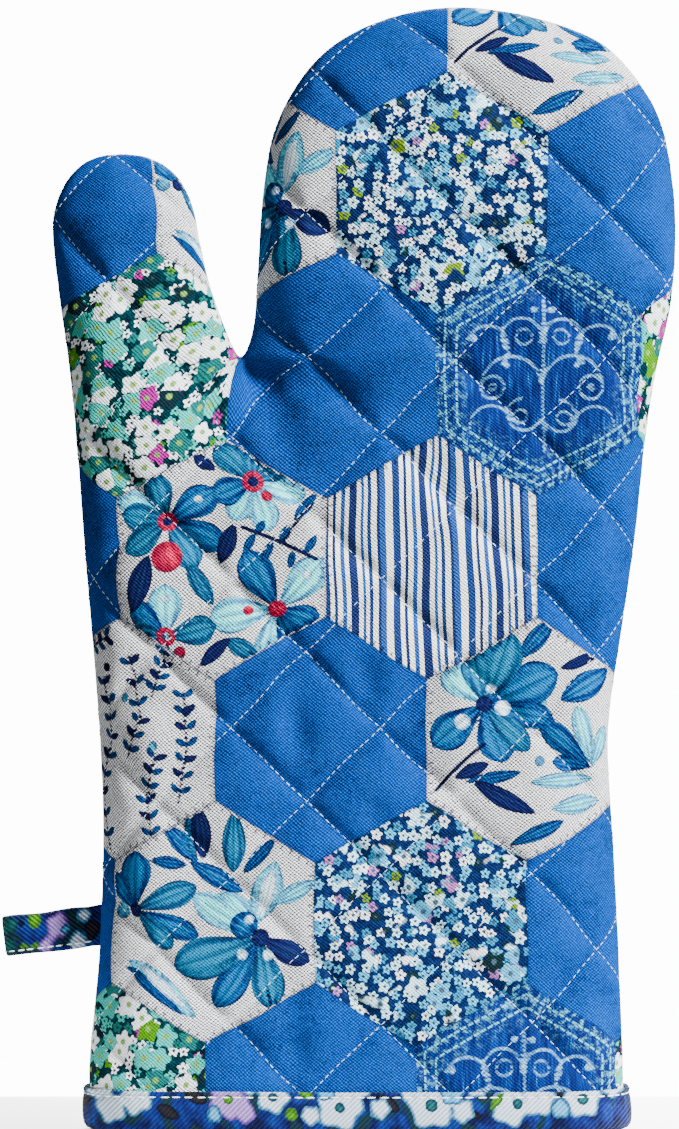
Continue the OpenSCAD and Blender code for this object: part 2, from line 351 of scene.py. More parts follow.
def readAttribute(mesh, name, size=1):
    values = np.empty(len(mesh.vertices) * size, np.float32)
    mesh.attributes[name].data.foreach_get("vector" if size == 3 else "value", values)
    return values.reshape(-1, size).astype(float) if size > 1 else values.astype(float)


def asVectors(a):   # two columns with a third of nothing
    return np.column_stack([a, np.zeros(len(a))])


def fingerPart(i, j, near):   # whether lattice cells belong to the piece that bends at the fingers
    i, j = np.floor(i / quilt["cells"]), np.floor(j / quilt["cells"])
    return (near >= crotchIndex) & (i >= j) & ~((i == -1) & (j == -1)) & (i + j > -3)


def applied(obj):   # the object's mesh with its modifiers, as a new mesh
    graph = bpy.context.evaluated_depsgraph_get()
    return bpy.data.meshes.new_from_object(obj.evaluated_get(graph), preserve_all_data_layers=True,
                                           depsgraph=graph)


def splitAtFold(source, name):   # the hand with the thumb, and the fingers, as two meshes
    flat = readAttribute(source, "flat", 3)[:, :2]
    lattice = readAttribute(source, "lattice", 3)[:, :2]
    near = nearestSeam(flat)[0]
    made = []
    for part in ("Hand", "Fingers"):
        bm = bmesh.new()
        bm.from_mesh(source)
        bm.verts.index_update()
        faces = bm.faces[:]
        middle = np.array([lattice[[v.index for v in f.verts]].mean(axis=0) for f in faces])
        side = np.array([near[[v.index for v in f.verts]].max() for f in faces])
        upper = fingerPart(middle[:, 0], middle[:, 1], side)
        drop = [f for f, u in zip(faces, upper) if u != (part == "Fingers")]
        bmesh.ops.delete(bm, geom=drop, context="FACES")
        mesh = bpy.data.meshes.new(name + part)
        bm.to_mesh(mesh)
        bm.free()
        mesh.shade_smooth()
        made.append(mesh)
    return made


def put(mesh, name, material, slot):   # an object for a finished mesh, with its material
    obj = bpy.data.objects.new(name, mesh)
    bpy.context.collection.objects.link(obj)
    mesh.materials.clear()
    mesh.materials.append(material)
    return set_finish(obj, slot)


def bendAtFold(obj):
    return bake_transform(obj)


def nodesOf(side, layer, part):
    parts = ("hand", "thumb") if part == "Hand" else ("fingers",)
    return [side + "_" + layer + "_" + p for p in parts]


# shader building: a material with helpers that add nodes and join them
def linear(*rgb):   # an sRGB colour in 0 to 255 as the linear colour that a node takes
    return tuple((c / 255 / 12.92 if c < 11 else ((c / 255 + 0.055) / 1.055) ** 2.4) for c in rgb) + (1,)


class Shader:
    def __init__(self, name):
        self.material = bpy.data.materials.new(name)
        self.material.use_nodes = True
        self.tree = self.material.node_tree
        self.surface = self.tree.nodes["Principled BSDF"]

    def node(self, kind, inputs, **settings):
        made = self.tree.nodes.new("ShaderNode" + kind)
        for key, value in settings.items():
            setattr(made, key, value)
        for key, value in inputs.items():
            self.join(value, made.inputs[key])
        return made

    def join(self, value, socket):
        if isinstance(value, bpy.types.NodeSocket):
            self.tree.links.new(value, socket)
        elif value is not None:
            socket.default_value = value

    def math(self, operation, a, b=None, clamp=False):
        return self.node("Math", {0: a, 1: b}, operation=operation, use_clamp=clamp).outputs[0]

    def mix(self, amount, a, b, blend="MIX"):
        return self.node("Mix", {0: amount, 6: a, 7: b}, data_type="RGBA", blend_type=blend).outputs[2]

    def attribute(self, name):
        return self.node("Attribute", {}, attribute_name=name).outputs["Vector"]

    def split(self, vector):
        return self.node("SeparateXYZ", {0: vector}).outputs

    def stretched(self, vector, scale, turn=0.0, shift=(0, 0, 0)):
        return self.node("Mapping", {"Vector": vector, "Scale": scale, "Rotation": (0, 0, turn),
                                     "Location": shift}).outputs[0]

    def noise(self, vector, scale, detail=2.0, roughness=0.5, output=0):
        values = {"Vector": vector, "Scale": scale, "Detail": detail, "Roughness": roughness}
        return self.node("TexNoise", values).outputs[output]

    def above(self, value, level, soft):   # 0 below the level and 1 above it
        return self.node("MapRange", {0: value, 1: level - soft, 2: level + soft}, clamp=True).outputs[0]

    def within(self, value, middle, half, soft):   # 1 in a band round the middle
        return self.above(self.math("ABSOLUTE", self.math("SUBTRACT", value, middle)), half, -soft)

    def ramp(self, value, stops, interpolation="LINEAR"):
        made = self.node("ValToRGB", {0: value})
        made.color_ramp.interpolation = interpolation
        while len(made.color_ramp.elements) < len(stops):
            made.color_ramp.elements.new(0.5)
        for element, (place, colour) in zip(made.color_ramp.elements, stops):
            element.position = place
            element.color = colour
        return made.outputs[0]

    def bump(self, height, distance):
        return self.node("Bump", {"Height": height, "Distance": distance, "Strength": 1.0}).outputs[0]

    def finish(self, colour, roughness, normal=None, sheen=0.0):
        self.join(colour, self.surface.inputs["Base Color"])
        self.join(roughness, self.surface.inputs["Roughness"])
        self.join(normal, self.surface.inputs["Normal"])
        self.surface.inputs["Specular IOR Level"].default_value = 0.02
        self.surface.inputs["Sheen Weight"].default_value = sheen
        self.surface.inputs["Sheen Roughness"].default_value = 0.5
        return self.material


# linear colours of the print's inks
inks = {
    "cloth": (0.93, 0.93, 0.91, 1), "deep": (0.0003, 0.007, 0.063, 1), "mid": (0.0003, 0.031, 0.2, 1),
    "navy": (0.001, 0.003, 0.03, 1), "blue": (0.001, 0.024, 0.13, 1), "sky": (0.07, 0.3, 0.5, 1),
    "teal": (0.003, 0.047, 0.13, 1), "coral": (0.34, 0.0005, 0.026, 1), "lime": (0.053, 0.217, 0.0005, 1),
    "pink": (0.324, 0.0049, 0.214, 1), "lavender": (0.27, 0.16, 0.42, 1),
    "tealGround": (0.001, 0.03, 0.04, 1), "leafDark": (0.001, 0.008, 0.012, 1),
}
stripeBlue = (0.006, 0.06, 0.26, 1)
stripeNavy = (0.001, 0.011, 0.085, 1)
speckBlue = (0.008, 0.13, 0.45, 1)
plainWhite = (0.88, 0.88, 0.772, 1)
litterWhite = (0.82, 0.86, 0.88, 1)
printed = {   # sizes of the print, in mm
    "stripes": 21.0,      # width over which the stripes repeat
    "smallFlower": 3.4, "bigFlower": 6.2, "meadowFlower": 6.6,
    "dash": 2.2,          # length of a dash and its gap in the denim's white lines
    "rails": (2.6, 6.0),  # how far the two dashed lines run from the patch's edge
    "rim": 0.32, "tick": 2.9, "tickLength": 1.7,   # the dark line and the ticks round a pale patch
    "seam": 0.5,          # the soft dark line round every patch
}


def weave(s, spot, across=1.2, up=1.0):   # plain canvas: raised threads and uneven yarn, each about 0 to 1
    bent = s.node("VectorMath", {0: spot, 1: s.noise(spot, 0.35, output=1)}, operation="ADD").outputs[0]
    x, z, _ = s.split(bent)
    warp = s.math("SINE", s.math("MULTIPLY", x, 2 * math.pi / across))
    weft = s.math("SINE", s.math("MULTIPLY", z, 2 * math.pi / up))
    threads = s.node("MapRange", {0: s.math("MULTIPLY", warp, weft), 1: -1.0, 2: 1.0}).outputs[0]
    yarn = s.noise(s.stretched(spot, (0.9, 1.2, 1)), 1.1, 3.0, 0.6)
    return threads, yarn


def flowers(s, spot, size, grounds, petals, middle, gap):   # small scattered flowers in random colours
    bent = s.node("VectorMath", {0: spot, 1: s.noise(spot, 0.3, output=1)}, operation="ADD").outputs[0]
    cells = s.node("TexVoronoi", {"Vector": bent, "Scale": 1 / size, "Randomness": 0.85},
                   voronoi_dimensions="2D")
    place = s.node("VectorMath", {0: bent, 1: cells.outputs["Position"]}, operation="SUBTRACT")
    x, z, _ = s.split(place.outputs[0])
    angle = s.math("MULTIPLY", s.math("ARCTAN2", x, z), 5.0)
    turned, grown, chosen = s.split(cells.outputs["Color"])
    wave = s.math("MULTIPLY", s.math("SINE", s.math("ADD", angle, turned)), 0.09)
    radius = s.math("ADD", s.math("ADD", s.math("MULTIPLY", grown, 0.16), gap), wave)
    inside = s.above(s.math("SUBTRACT", radius, cells.outputs["Distance"]), 0.0, 0.03)
    colour = s.ramp(chosen, petals, "CONSTANT")
    heart = s.above(cells.outputs["Distance"], 0.13, -0.03)
    colour = s.mix(heart, colour, middle)
    return s.mix(inside, grounds, colour)


def stripedPaint(s, spot, plain):   # stripes of uneven width, running with the print
    line = s.split(s.stretched(spot, (1, 1, 1), turn=-0.03))[0]
    share = s.math("FRACT", s.math("DIVIDE", line, printed["stripes"]))
    stops = [(0, inks["blue"]), (0.1, plainWhite), (0.16, stripeNavy), (0.2, plainWhite),
             (0.27, stripeBlue), (0.33, plainWhite), (0.39, stripeNavy), (0.5, plainWhite),
             (0.56, stripeBlue), (0.6, plainWhite), (0.65, inks["blue"]), (0.7, plainWhite),
             (0.78, stripeNavy), (0.82, stripeBlue), (0.9, plainWhite)]
    return s.mix(0.02, s.ramp(share, stops, "CONSTANT"), plain)


def ditsyPaint(s, spot, wash):   # many small flowers on blue, with clumps of larger ones
    petals = [(0, (0.5, 0.8, 0.86, 1)), (0.36, (0.07, 0.4, 0.62, 1)), (0.62, litterWhite),
              (0.76, (0.015, 0.19, 0.35, 1)), (0.9, (0.35, 0.12, 0.345, 1)),
              (0.94, (0.0049, 0.017, 0.019, 1)), (0.975, (0.129, 0.241, 0.0015, 1))]
    ground = s.mix(s.above(wash, 0.5, 0.1), (0.004, 0.019, 0.085, 1), (0.0028, 0.0083, 0.039, 1))
    little = flowers(s, spot, printed["smallFlower"], ground, petals, (0.025, 0.057, 0.104, 1), 0.31)
    turned = s.stretched(spot, (1, 1, 1), turn=0.6, shift=(31, 17, 0))
    big = flowers(s, turned, printed["bigFlower"], little, petals, (0.044, 0.086, 0.131, 1), 0.36)
    return s.mix(s.above(s.noise(spot, 0.11, 1.0), 0.56, 0.02), little, big)


def meadowPaint(s, spot, wash):   # looser flowers on green
    petals = [(0, (0.84, 0.88, 0.88, 1)), (0.29, (0.03, 0.4, 0.33, 1)), (0.56, litterWhite),
              (0.71, (0.0046, 0.108, 0.1, 1)), (0.84, inks["lime"]), (0.91, inks["pink"]),
              (0.96, (0.0038, 0.014, 0.021, 1))]
    ground = s.mix(s.above(wash, 0.5, 0.1), inks["tealGround"], inks["leafDark"])
    turned = s.stretched(spot, (1, 1, 1), turn=1.1, shift=(9, 3, 0))
    under = flowers(s, turned, printed["smallFlower"], ground, petals, (0.0071, 0.043, 0.042, 1), 0.3)
    return flowers(s, spot, printed["meadowFlower"], under, petals, (0.164, 0.315, 0.063, 1), 0.4)


def denimPaint(s, spot, inEdge, alongEdge):   # worn denim with white dashed lines
    streak = s.noise(s.stretched(spot, (1.1, 0.09, 1)), 1.0, 4.0, 0.7)
    denim = s.ramp(streak, [(0.32, (0.0027, 0.0046, 0.044, 1)), (0.5, (0.004, 0.016, 0.116, 1)),
                            (0.62, (0.0011, 0.036, 0.207, 1)), (0.74, (0.0005, 0.248, 0.682, 1))])
    dash = s.above(s.math("FRACT", s.math("DIVIDE", alongEdge, printed["dash"])), 0.3, 0.08)
    outer, inner = (s.within(inEdge, place, 0.28, 0.15) for place in printed["rails"])
    rails = s.math("ADD", outer, inner, clamp=True)
    scuff = s.math("MULTIPLY", s.above(s.noise(spot, 0.5, 5.0, 0.7), 0.56, 0.05), s.above(inEdge, 6.0, -5.0))
    chalk = s.math("MAXIMUM", s.math("MULTIPLY", rails, dash), s.math("MULTIPLY", scuff, 0.75))
    return s.mix(s.math("MULTIPLY", chalk, 0.6), denim, (0.2, 0.76, 0.88, 1))


def motifPaint(s, spot, colour, scroll):   # each ink pales towards its middle, as watercolour does
    sky, blueInk, tealInk = s.split(s.attribute("inkA"))
    navy, coral, chalkInk = s.split(s.attribute("inkB"))
    worn = s.math("MULTIPLY", s.above(scroll, 0, 0.1), s.math("MULTIPLY", s.noise(spot, 1.6, 3.0, 0.7), 0.3))
    chalkInk = s.math("SUBTRACT", chalkInk, worn)
    brush = s.noise(s.stretched(spot, (0.8, 0.8, 1), turn=0.7), 1.0, 4.0, 0.7)
    across, along, length = s.split(s.attribute("veins"))
    fan = s.math("SINE", s.math("ADD", s.math("MULTIPLY", across, 11.0), s.math("MULTIPLY", brush, 5.0)))
    alongShare = s.math("DIVIDE", along, s.math("MAXIMUM", length, 1.0))
    fade = s.above(s.math("SUBTRACT", 1.3, alongShare), 0.6, 0.35)
    veins = s.math("MULTIPLY", s.above(fan, 0.35, 0.4), fade)
    glow = s.math("MULTIPLY", s.above(fan, -0.45, -0.35), s.above(brush, 0.42, 0.12))
    ribs = s.within(across, 0.0, 0.07, 0.05)
    paints = (   # how far inside each ink, then its edge, its body and its palest middle
        (sky, (0.012, 0.062, 0.143, 1), inks["sky"], (0.143, 0.88, 0.88, 1)),
        (blueInk, inks["navy"], inks["blue"], (0.0005, 0.135, 0.35, 1)),
        (tealInk, (0.0035, 0.014, 0.043, 1), inks["teal"], (0.004, 0.175, 0.34, 1)),
        (navy, (0.0016, 0.0015, 0.016, 1), (0.0052, 0.0074, 0.061, 1), (0.0088, 0.019, 0.083, 1)),
        (coral, (0.116, 0.0036, 0.023, 1), inks["coral"], (0.76, 0.015, 0.085, 1)),
        (chalkInk, (0.068, 0.217, 0.425, 1), (0.645, 0.88, 0.88, 1), (0.88, 0.88, 0.88, 1)),
    )
    for value, edgeInk, body, core in paints:
        depth = s.math("ADD", value, s.math("MULTIPLY", s.math("SUBTRACT", brush, 0.5), 4.5))
        paint = s.mix(s.above(depth, 0.5, 0.35), edgeInk, s.mix(s.above(depth, 2.2, 0.8), body, core))
        paint = s.mix(s.math("MULTIPLY", glow, 0.5), paint, core)
        paint = s.mix(s.math("MULTIPLY", s.math("MAXIMUM", veins, ribs), 0.62), paint, edgeInk)
        colour = s.mix(s.above(value, 0, 0.14), colour, paint)
    return colour


def edgePaint(s, colour, pale, inEdge, alongEdge):   # a dark line and fine ticks, as if patches were sewn on
    tick = s.above(s.math("FRACT", s.math("DIVIDE", alongEdge, printed["tick"])), 0.78, 0.05)
    ticks = s.math("MULTIPLY", tick, s.above(inEdge, printed["tickLength"], -0.15))
    rim = s.math("MULTIPLY", s.math("MAXIMUM", ticks, s.above(inEdge, printed["rim"], -0.12)), pale)
    colour = s.mix(s.math("MULTIPLY", rim, 0.75), colour, inks["navy"])
    seamed = s.math("MULTIPLY", s.above(inEdge, printed["seam"], -0.3), 0.35)
    return s.mix(seamed, colour, inks["navy"])


def canvasPaint(s):   # the patchwork print on the covers, with painted shade in the gaps of the weave
    spot = s.attribute("cloth")
    inEdge, alongEdge, _ = s.split(s.attribute("patchEdge"))
    white, ditsy, teal = s.split(s.attribute("patchA"))
    scroll, stripes, _ = s.split(s.attribute("patchB"))
    threads, yarn = weave(s, spot)
    mottle = s.noise(spot, 0.055, 4.0, 0.6)
    wash = s.noise(spot, 0.5, 3.0, 0.65)
    blue = s.ramp(s.math("ADD", s.math("MULTIPLY", mottle, 0.6), s.math("MULTIPLY", wash, 0.4)),
                  [(0.34, inks["deep"]), (0.5, inks["mid"]), (0.68, (0.0004, 0.042, 0.26, 1))])
    speck = s.above(s.math("ADD", threads, s.math("MULTIPLY", yarn, 1.2)), 1.32, 0.3)
    blue = s.mix(s.math("MULTIPLY", speck, 0.5), blue, speckBlue)
    # painted shade: the plain white cloth turns grey in the low gaps between the threads
    pit = s.above(s.math("SUBTRACT", threads, s.math("MULTIPLY", yarn, 0.5)), 0.26, -0.3)
    plain = s.mix(pit, inks["cloth"], (0.11, 0.115, 0.145, 1))

    colour = s.mix(s.above(white, 0, 0.1), blue, plain)
    colour = s.mix(s.above(stripes, 0, 0.1), colour, stripedPaint(s, spot, plain))
    colour = s.mix(s.above(ditsy, 0, 0.1), colour, ditsyPaint(s, spot, wash))
    colour = s.mix(s.above(teal, 0, 0.1), colour, meadowPaint(s, spot, wash))
    colour = s.mix(s.above(scroll, 0, 0.1), colour, denimPaint(s, spot, inEdge, alongEdge))
    colour = motifPaint(s, spot, colour, scroll)
    pale = s.math("MAXIMUM", s.above(white, 0, 0.05), s.above(stripes, 0, 0.05))
    colour = edgePaint(s, colour, pale, inEdge, alongEdge)

    # painted shade: every colour is multiplied darker between the raised threads, in the weave's hollows
    between = s.math("MULTIPLY", s.math("SUBTRACT", 1.0, threads), 0.52)
    shade = s.mix(between, (1, 1, 1, 1), linear(84, 92, 116))
    return s.mix(1.0, colour, shade, "MULTIPLY"), threads, yarn


def canvasMaterial():
    s = Shader("printedCanvas")
    colour, threads, yarn = canvasPaint(s)
    height = s.math("ADD", s.math("MULTIPLY", threads, 0.7), s.math("MULTIPLY", yarn, 0.9))
    rough = s.node("MapRange", {0: yarn, 3: 0.72, 4: 0.92}).outputs[0]
    return s.finish(colour, rough, s.bump(height, 0.0005))


canvas = canvasMaterial()
print("canvas material:", len(canvas.node_tree.nodes), "nodes")


# the printed patchwork: hexagons in four rows that repeat, each filled with one kind of print
patches = {
    "across": 61.6, "up": 53.2, "lean": 1.5,      # pitch of the patches and how far each row leans, in mm
    "firstZ": 8.0, "evenX": -8.0, "oddX": 22.5,
    "kinds": [["teal", "blue", "scroll"], ["white", "ditsy", "blue"], ["twigs", "blue", "floral"],
              ["red", "stripes", "blue"]],
}

# painted motifs of each kind of patch, in mm from its middle: disc x z r, ring x z r w, arc x z r w from to,
# leaf and petal from x z to x z w, stem w x z x z ...
motifs = {
    "red": {
        "sky": [("petal", 10, 22.6, 14, 8, 9), ("petal", 10, 22.6, 3, 11, 8),
                ("petal", 10, 22.6, 25, 19, 9), ("petal", -15.6, 10, -31, 19, 8),
                ("petal", 16.8, -15, 30, 0, 11), ("petal", 16.8, -15, -3, -18, 11),
                ("petal", -15.6, -23.2, -15.6, -8.5, 10), ("petal", 16.8, -15, 14, -32, 9)],
        "blue": [("petal", 10, 22.6, -2, 18, 9), ("petal", -15.6, 10, -1, 20, 10),
                 ("petal", -15.6, 10, 1, 3.5, 9), ("petal", 16.8, -15, 7, 2, 11),
                 ("petal", 16.8, -15, 29, -20, 9), ("petal", 16.8, -15, 24, -29, 8),
                 ("leaf", 10, 7, 13, 11, 2.6), ("leaf", 10, 7.5, 6.5, 1.5, 2.8),
                 ("leaf", 17, 5, 20, 10, 2.8), ("leaf", 24, 1.5, 28, 7, 2.8),
                 ("leaf", 15, 5.5, 12.5, -0.5, 2.8), ("leaf", 21, 3, 20, -3, 2.4),
                 ("leaf", 21, 11, 28, 19.5, 3.4), ("petal", -15.6, -23.2, -26, -14, 8)],
        "teal": [("petal", 10, 22.6, -1, 34, 9), ("petal", 10, 22.6, 9, 35, 8),
                 ("petal", 10, 22.6, 22, 30, 8), ("petal", -15.6, 10, -7, -3.5, 9),
                 ("petal", -15.6, 10, -29, 12.5, 9), ("petal", -15.6, 10, -28, 1, 9),
                 ("petal", -15.6, 10, -19.5, 25, 9), ("petal", -15.6, -23.2, -27, -23, 8),
                 ("petal", -15.6, -23.2, -1, -20, 9), ("leaf", -9.7, -1.8, -2, -14, 5.4),
                 ("leaf", 2, -24, 12, -29.5, 5.5), ("petal", -15.6, -23.2, -19, -34, 8)],
        "navy": [("leaf", -21, 0, -25.8, -16.5, 7), ("leaf", 3.8, 10, -0.5, -2, 5.4),
                 ("stem", 1.2, 6, 9, 16, 5.5, 28, 0), ("leaf", 3.5, -23.5, -5.5, -31.5, 4.4),
                 ("disc", 10, 22.6, 1.7), ("disc", -15.6, 10, 1.4), ("stem", 1.1, 18, 5, 22, 11, 26, 16),
                 ("leaf", -1, 26, -8, 31, 4)],
        "coral": [("ring", 10, 22.6, 2.5, 1.7), ("disc", 13.8, 18.2, 1.7), ("disc", -15.6, -0.6, 4.6),
                  ("ring", -15.6, 10, 2.2, 1.6), ("disc", 16.8, -15, 2.7), ("disc", 8.4, -15.6, 1.6),
                  ("ring", -15.6, -23.2, 2.0, 1.6), ("disc", -11.5, -27.4, 1.8)],
        "chalk": [("disc", -6, 17, 1.3), ("disc", 25, -4.5, 1.6), ("disc", -15.4, -12.5, 1.4)],
    },
    "floral": {
        "sky": [("petal", -13.8, 10.6, -26, 22.5, 11), ("disc", 2.6, 10.6, 2.0),
                ("leaf", 5.3, -19.9, 23.5, -17.6, 5.4), ("leaf", -1, -12.4, 20, -11.6, 4.8),
                ("disc", 2.4, -6.2, 1.7), ("petal", 19.1, -8.5, 14, 9.5, 7),
                ("petal", 19.1, -8.5, 25.5, 3.5, 6)],
        "blue": [("petal", -13.8, 10.6, 7.5, 20, 13), ("petal", -13.8, 10.6, -8.6, -6.5, 11),
                 ("petal", -13.8, 10.6, -29, -2, 11), ("petal", -13.8, 10.6, 6.4, 5.6, 8),
                 ("leaf", -4.1, 24, 6, 35, 5.4), ("leaf", 9, 11, 26, 19.8, 8),
                 ("leaf", -19.7, -12.6, -3.2, -9.2, 3.6), ("leaf", -6.8, -30.8, 9.6, -23, 4.6),
                 ("petal", 19.1, -8.5, 2.6, 5, 7), ("petal", 19.1, -8.5, 6.6, -6.4, 5)],
        "teal": [("petal", -13.8, 10.6, -6.4, 31.5, 12), ("petal", -13.8, 10.6, -17.5, 27, 10),
                 ("petal", -13.8, 10.6, -1, -3, 8)],
        "navy": [("disc", -13.8, 10.6, 2.5), ("leaf", 8, 21.2, 23.4, 24.9, 4.2),
                 ("leaf", -17.6, -12.2, 0.6, -21.4, 5.4), ("leaf", -22.8, -11.6, -12.6, -6.8, 4.2),
                 ("stem", 1.2, -13.8, -1.2, -25, -10.9, -28.5, -15)],
        "chalk": [("disc", -8.4, 9.4, 2.4), ("disc", -20, 5.2, 2.4), ("disc", -12, 15.4, 1.6)],
    },
    "white": {
        "sky": [("disc", -27.6, 3.8, 2.5), ("leaf", -25, -10.6, -3.4, -27.8, 7),
                ("leaf", 13.6, 0, 19.4, 18.6, 9.4), ("leaf", 19, 6, 31.5, 12.4, 5.4),
                ("petal", 15.3, -4.1, -4.4, 8.4, 9), ("petal", 15.3, -4.1, 4, 9.6, 7)],
        "blue": [("petal", -22.4, 3.8, -22.1, 21, 11), ("petal", -22.4, 3.8, -2.6, -3.8, 7),
                 ("leaf", -26.4, -12, -7, -27.4, 3.6), ("leaf", 9.2, 14.8, 19.6, 25, 4),
                 ("leaf", -13.6, 29.5, -3.4, 18, 5.2), ("leaf", -5.6, 18.2, 9.8, 9.5, 5.6),
                 ("leaf", -17, 18.8, -6.4, 17.2, 4), ("disc", 10.3, -0.3, 4.1),
                 ("petal", 15.3, -4.1, 1.8, -24.5, 9), ("petal", -22.4, 3.8, -31, 14, 7)],
        "teal": [("petal", -22.4, 3.8, -3.4, 11, 8), ("petal", -22.4, 3.8, -10.6, -7.8, 7),
                 ("leaf", 7.4, 32.5, 6.6, 15, 7.4), ("petal", 15.3, -4.1, -10, -13.4, 12.5),
                 ("petal", 15.3, -4.1, 18, -25, 10), ("leaf", -6.6, 33, -4.6, 19.6, 4)],
        "navy": [("disc", -22.4, 3.8, 2.2), ("leaf", -3.6, 34.5, -2, 19, 6),
                 ("petal", 15.3, -4.1, 29, -11.4, 8), ("disc", 15.3, -4.1, 2.7),
                 ("stem", 1.1, 17, -20, 19, -30)],
        "chalk": [("disc", 11.6, 1.2, 1.5), ("disc", 9.8, -8.8, 1.7), ("disc", 17.4, -9.2, 1.7),
                  ("leaf", 14.6, 1.5, 18.6, 16.6, 5), ("leaf", -22.4, -11.6, -5.6, -25.6, 3.2)],
    },
    "twigs": {
        "sky": [("disc", 3.2, 12, 1.5), ("disc", 13, -2, 1.4)],
        "blue": [],
        "navy": [("disc", -3, 21, 1.4), ("disc", 22, 8, 1.4), ("disc", -21, 9, 1.3)],
    },
    "scroll": {
        "chalk": [("stem", 1.3, 0.6, -23, 0.2, 22)]
        + [part for side in (-1, 1) for part in (
            ("arc", 6 * side, 11, 5.4, 1.2, -40, 200), ("ring", 5.4 * side, 11, 2.2, 1.1),
            ("arc", 9 * side, -3, 8.6, 1.2, 0, 180),
            ("ring", 14.2 * side, -3.5, 3.4, 1.2), ("ring", 14.2 * side, -3.5, 0.9, 1.1),
            ("arc", 5 * side, -12, 4.8, 1.2, -160, 90),
            ("ring", 6.2 * side, -12.6, 2.0, 1.1), ("arc", 16 * side, 8, 6.4, 1.2, 20, 230),
            ("disc", 2.6 * side, 19, 1.2),
            ("disc", 20 * side, 11, 1.3), ("arc", 15 * side, -15, 6, 1.1, -20, 170),
            ("disc", 10 * side, 3, 1.1))],
    },
}
sprigs = [   # stems of the twig print with small leaves in pairs: points in mm, then how many pairs
    ([(-22, -30), (-17, -12), (-19, 4), (-14, 22)], 9), ([(-4, -32), (-7, -14), (-2, 2), (-5, 18)], 9),
    ([(12, -30), (10, -16), (14, -4)], 6), ([(4, -6), (9, 6), (5, 24)], 6),
    ([(20, -18), (23, -2), (21, 14)], 7),
    ([(-12, 26), (-2, 30)], 3), ([(12, 12), (16, 26)], 4),
]
for line, pairs in sprigs:
    line = np.array(line, float)
    motifs["twigs"]["navy"].append(("stem", 0.95, *line.ravel()))
    for k in range(pairs):
        t = (k + 0.6) / pairs * (len(line) - 1)
        a, b = line[int(t)], line[min(int(t) + 1, len(line) - 1)]
        root, along = a + (b - a) * (t - int(t)), (b - a) / np.linalg.norm(b - a)
        for side in (-1, 1):
            tip = root + along * 2.6 + side * 3.4 * np.array([along[1], -along[0]])
            motifs["twigs"]["blue" if (k + side) % 3 else "navy"].append(("leaf", *root, *tip, 2.0))


def inside(q, shape, v):   # how far inside the shape each place is, in mm
    if shape == "disc":
        return v[2] - np.hypot(q[:, 0] - v[0], q[:, 1] - v[1])
    if shape in ("ring", "arc"):
        r = q - np.array(v[:2])
        deep = v[3] / 2 - np.abs(np.hypot(r[:, 0], r[:, 1]) - v[2])
        if shape == "arc":
            turn = np.degrees(np.arctan2(r[:, 1], r[:, 0] * (1 if v[0] >= 0 else -1)))
            turn = (turn - v[4]) % 360
            deep = np.where(turn < (v[5] - v[4]) % 360, deep, -1.0)
        return deep
    if shape == "stem":
        points = np.array(v[1:], float).reshape(-1, 2)
        deep = np.full(len(q), -9.0)
        for a, b in zip(points[:-1], points[1:]):
            t = np.clip(((q - a) @ (b - a)) / ((b - a) @ (b - a)), 0, 1)
            deep = np.maximum(deep, v[0] / 2 - np.linalg.norm(q - a - t[:, None] * (b - a), axis=1))
        return deep
    a, b, width = np.array(v[:2], float), np.array(v[2:4], float), v[4]
    length = np.linalg.norm(b - a)
    along = (q - a) @ (b - a) / length ** 2
    across = np.abs((q - a) @ np.array([a[1] - b[1], b[0] - a[0]])) / length
    t = np.clip(along, 0, 1)
    half = width / 2 * (np.sin(math.pi * t ** 1.7) ** 0.6 if shape == "petal"
                        else np.sin(math.pi * t) ** 0.75)
    beyond = np.maximum(-along, along - 1) * length
    return np.where(beyond > 0, -np.hypot(beyond, across), half - across)


def veinFrame(q, v):   # across a leaf or petal from -1 to 1, and along it in mm
    a, b = np.array(v[:2], float), np.array(v[2:4], float)
    length = np.linalg.norm(b - a)
    along = (q - a) @ (b - a) / length
    across = (q - a) @ np.array([a[1] - b[1], b[0] - a[0]]) / length
    spread = v[4] / 2 * (0.35 + 0.65 * np.sin(math.pi * np.clip(along / length, 0.02, 0.98) ** 1.4))
    return np.column_stack([across / spread, along, np.full(len(q), length)])


def patchCentres(x0, x1, z0, z1):
    found = []
    for row in range(math.floor(z0 / patches["up"]) - 1, math.ceil(z1 / patches["up"]) + 1):
        first = (patches["oddX"] if row % 2 else patches["evenX"]) + patches["lean"] * row
        for k in range(math.floor(x0 / patches["across"]) - 2, math.ceil(x1 / patches["across"]) + 2):
            kind = patches["kinds"][row % 4][(k + 1) % 3]
            found.append((first + k * patches["across"], patches["firstZ"] + patches["up"] * row, kind))
    return found


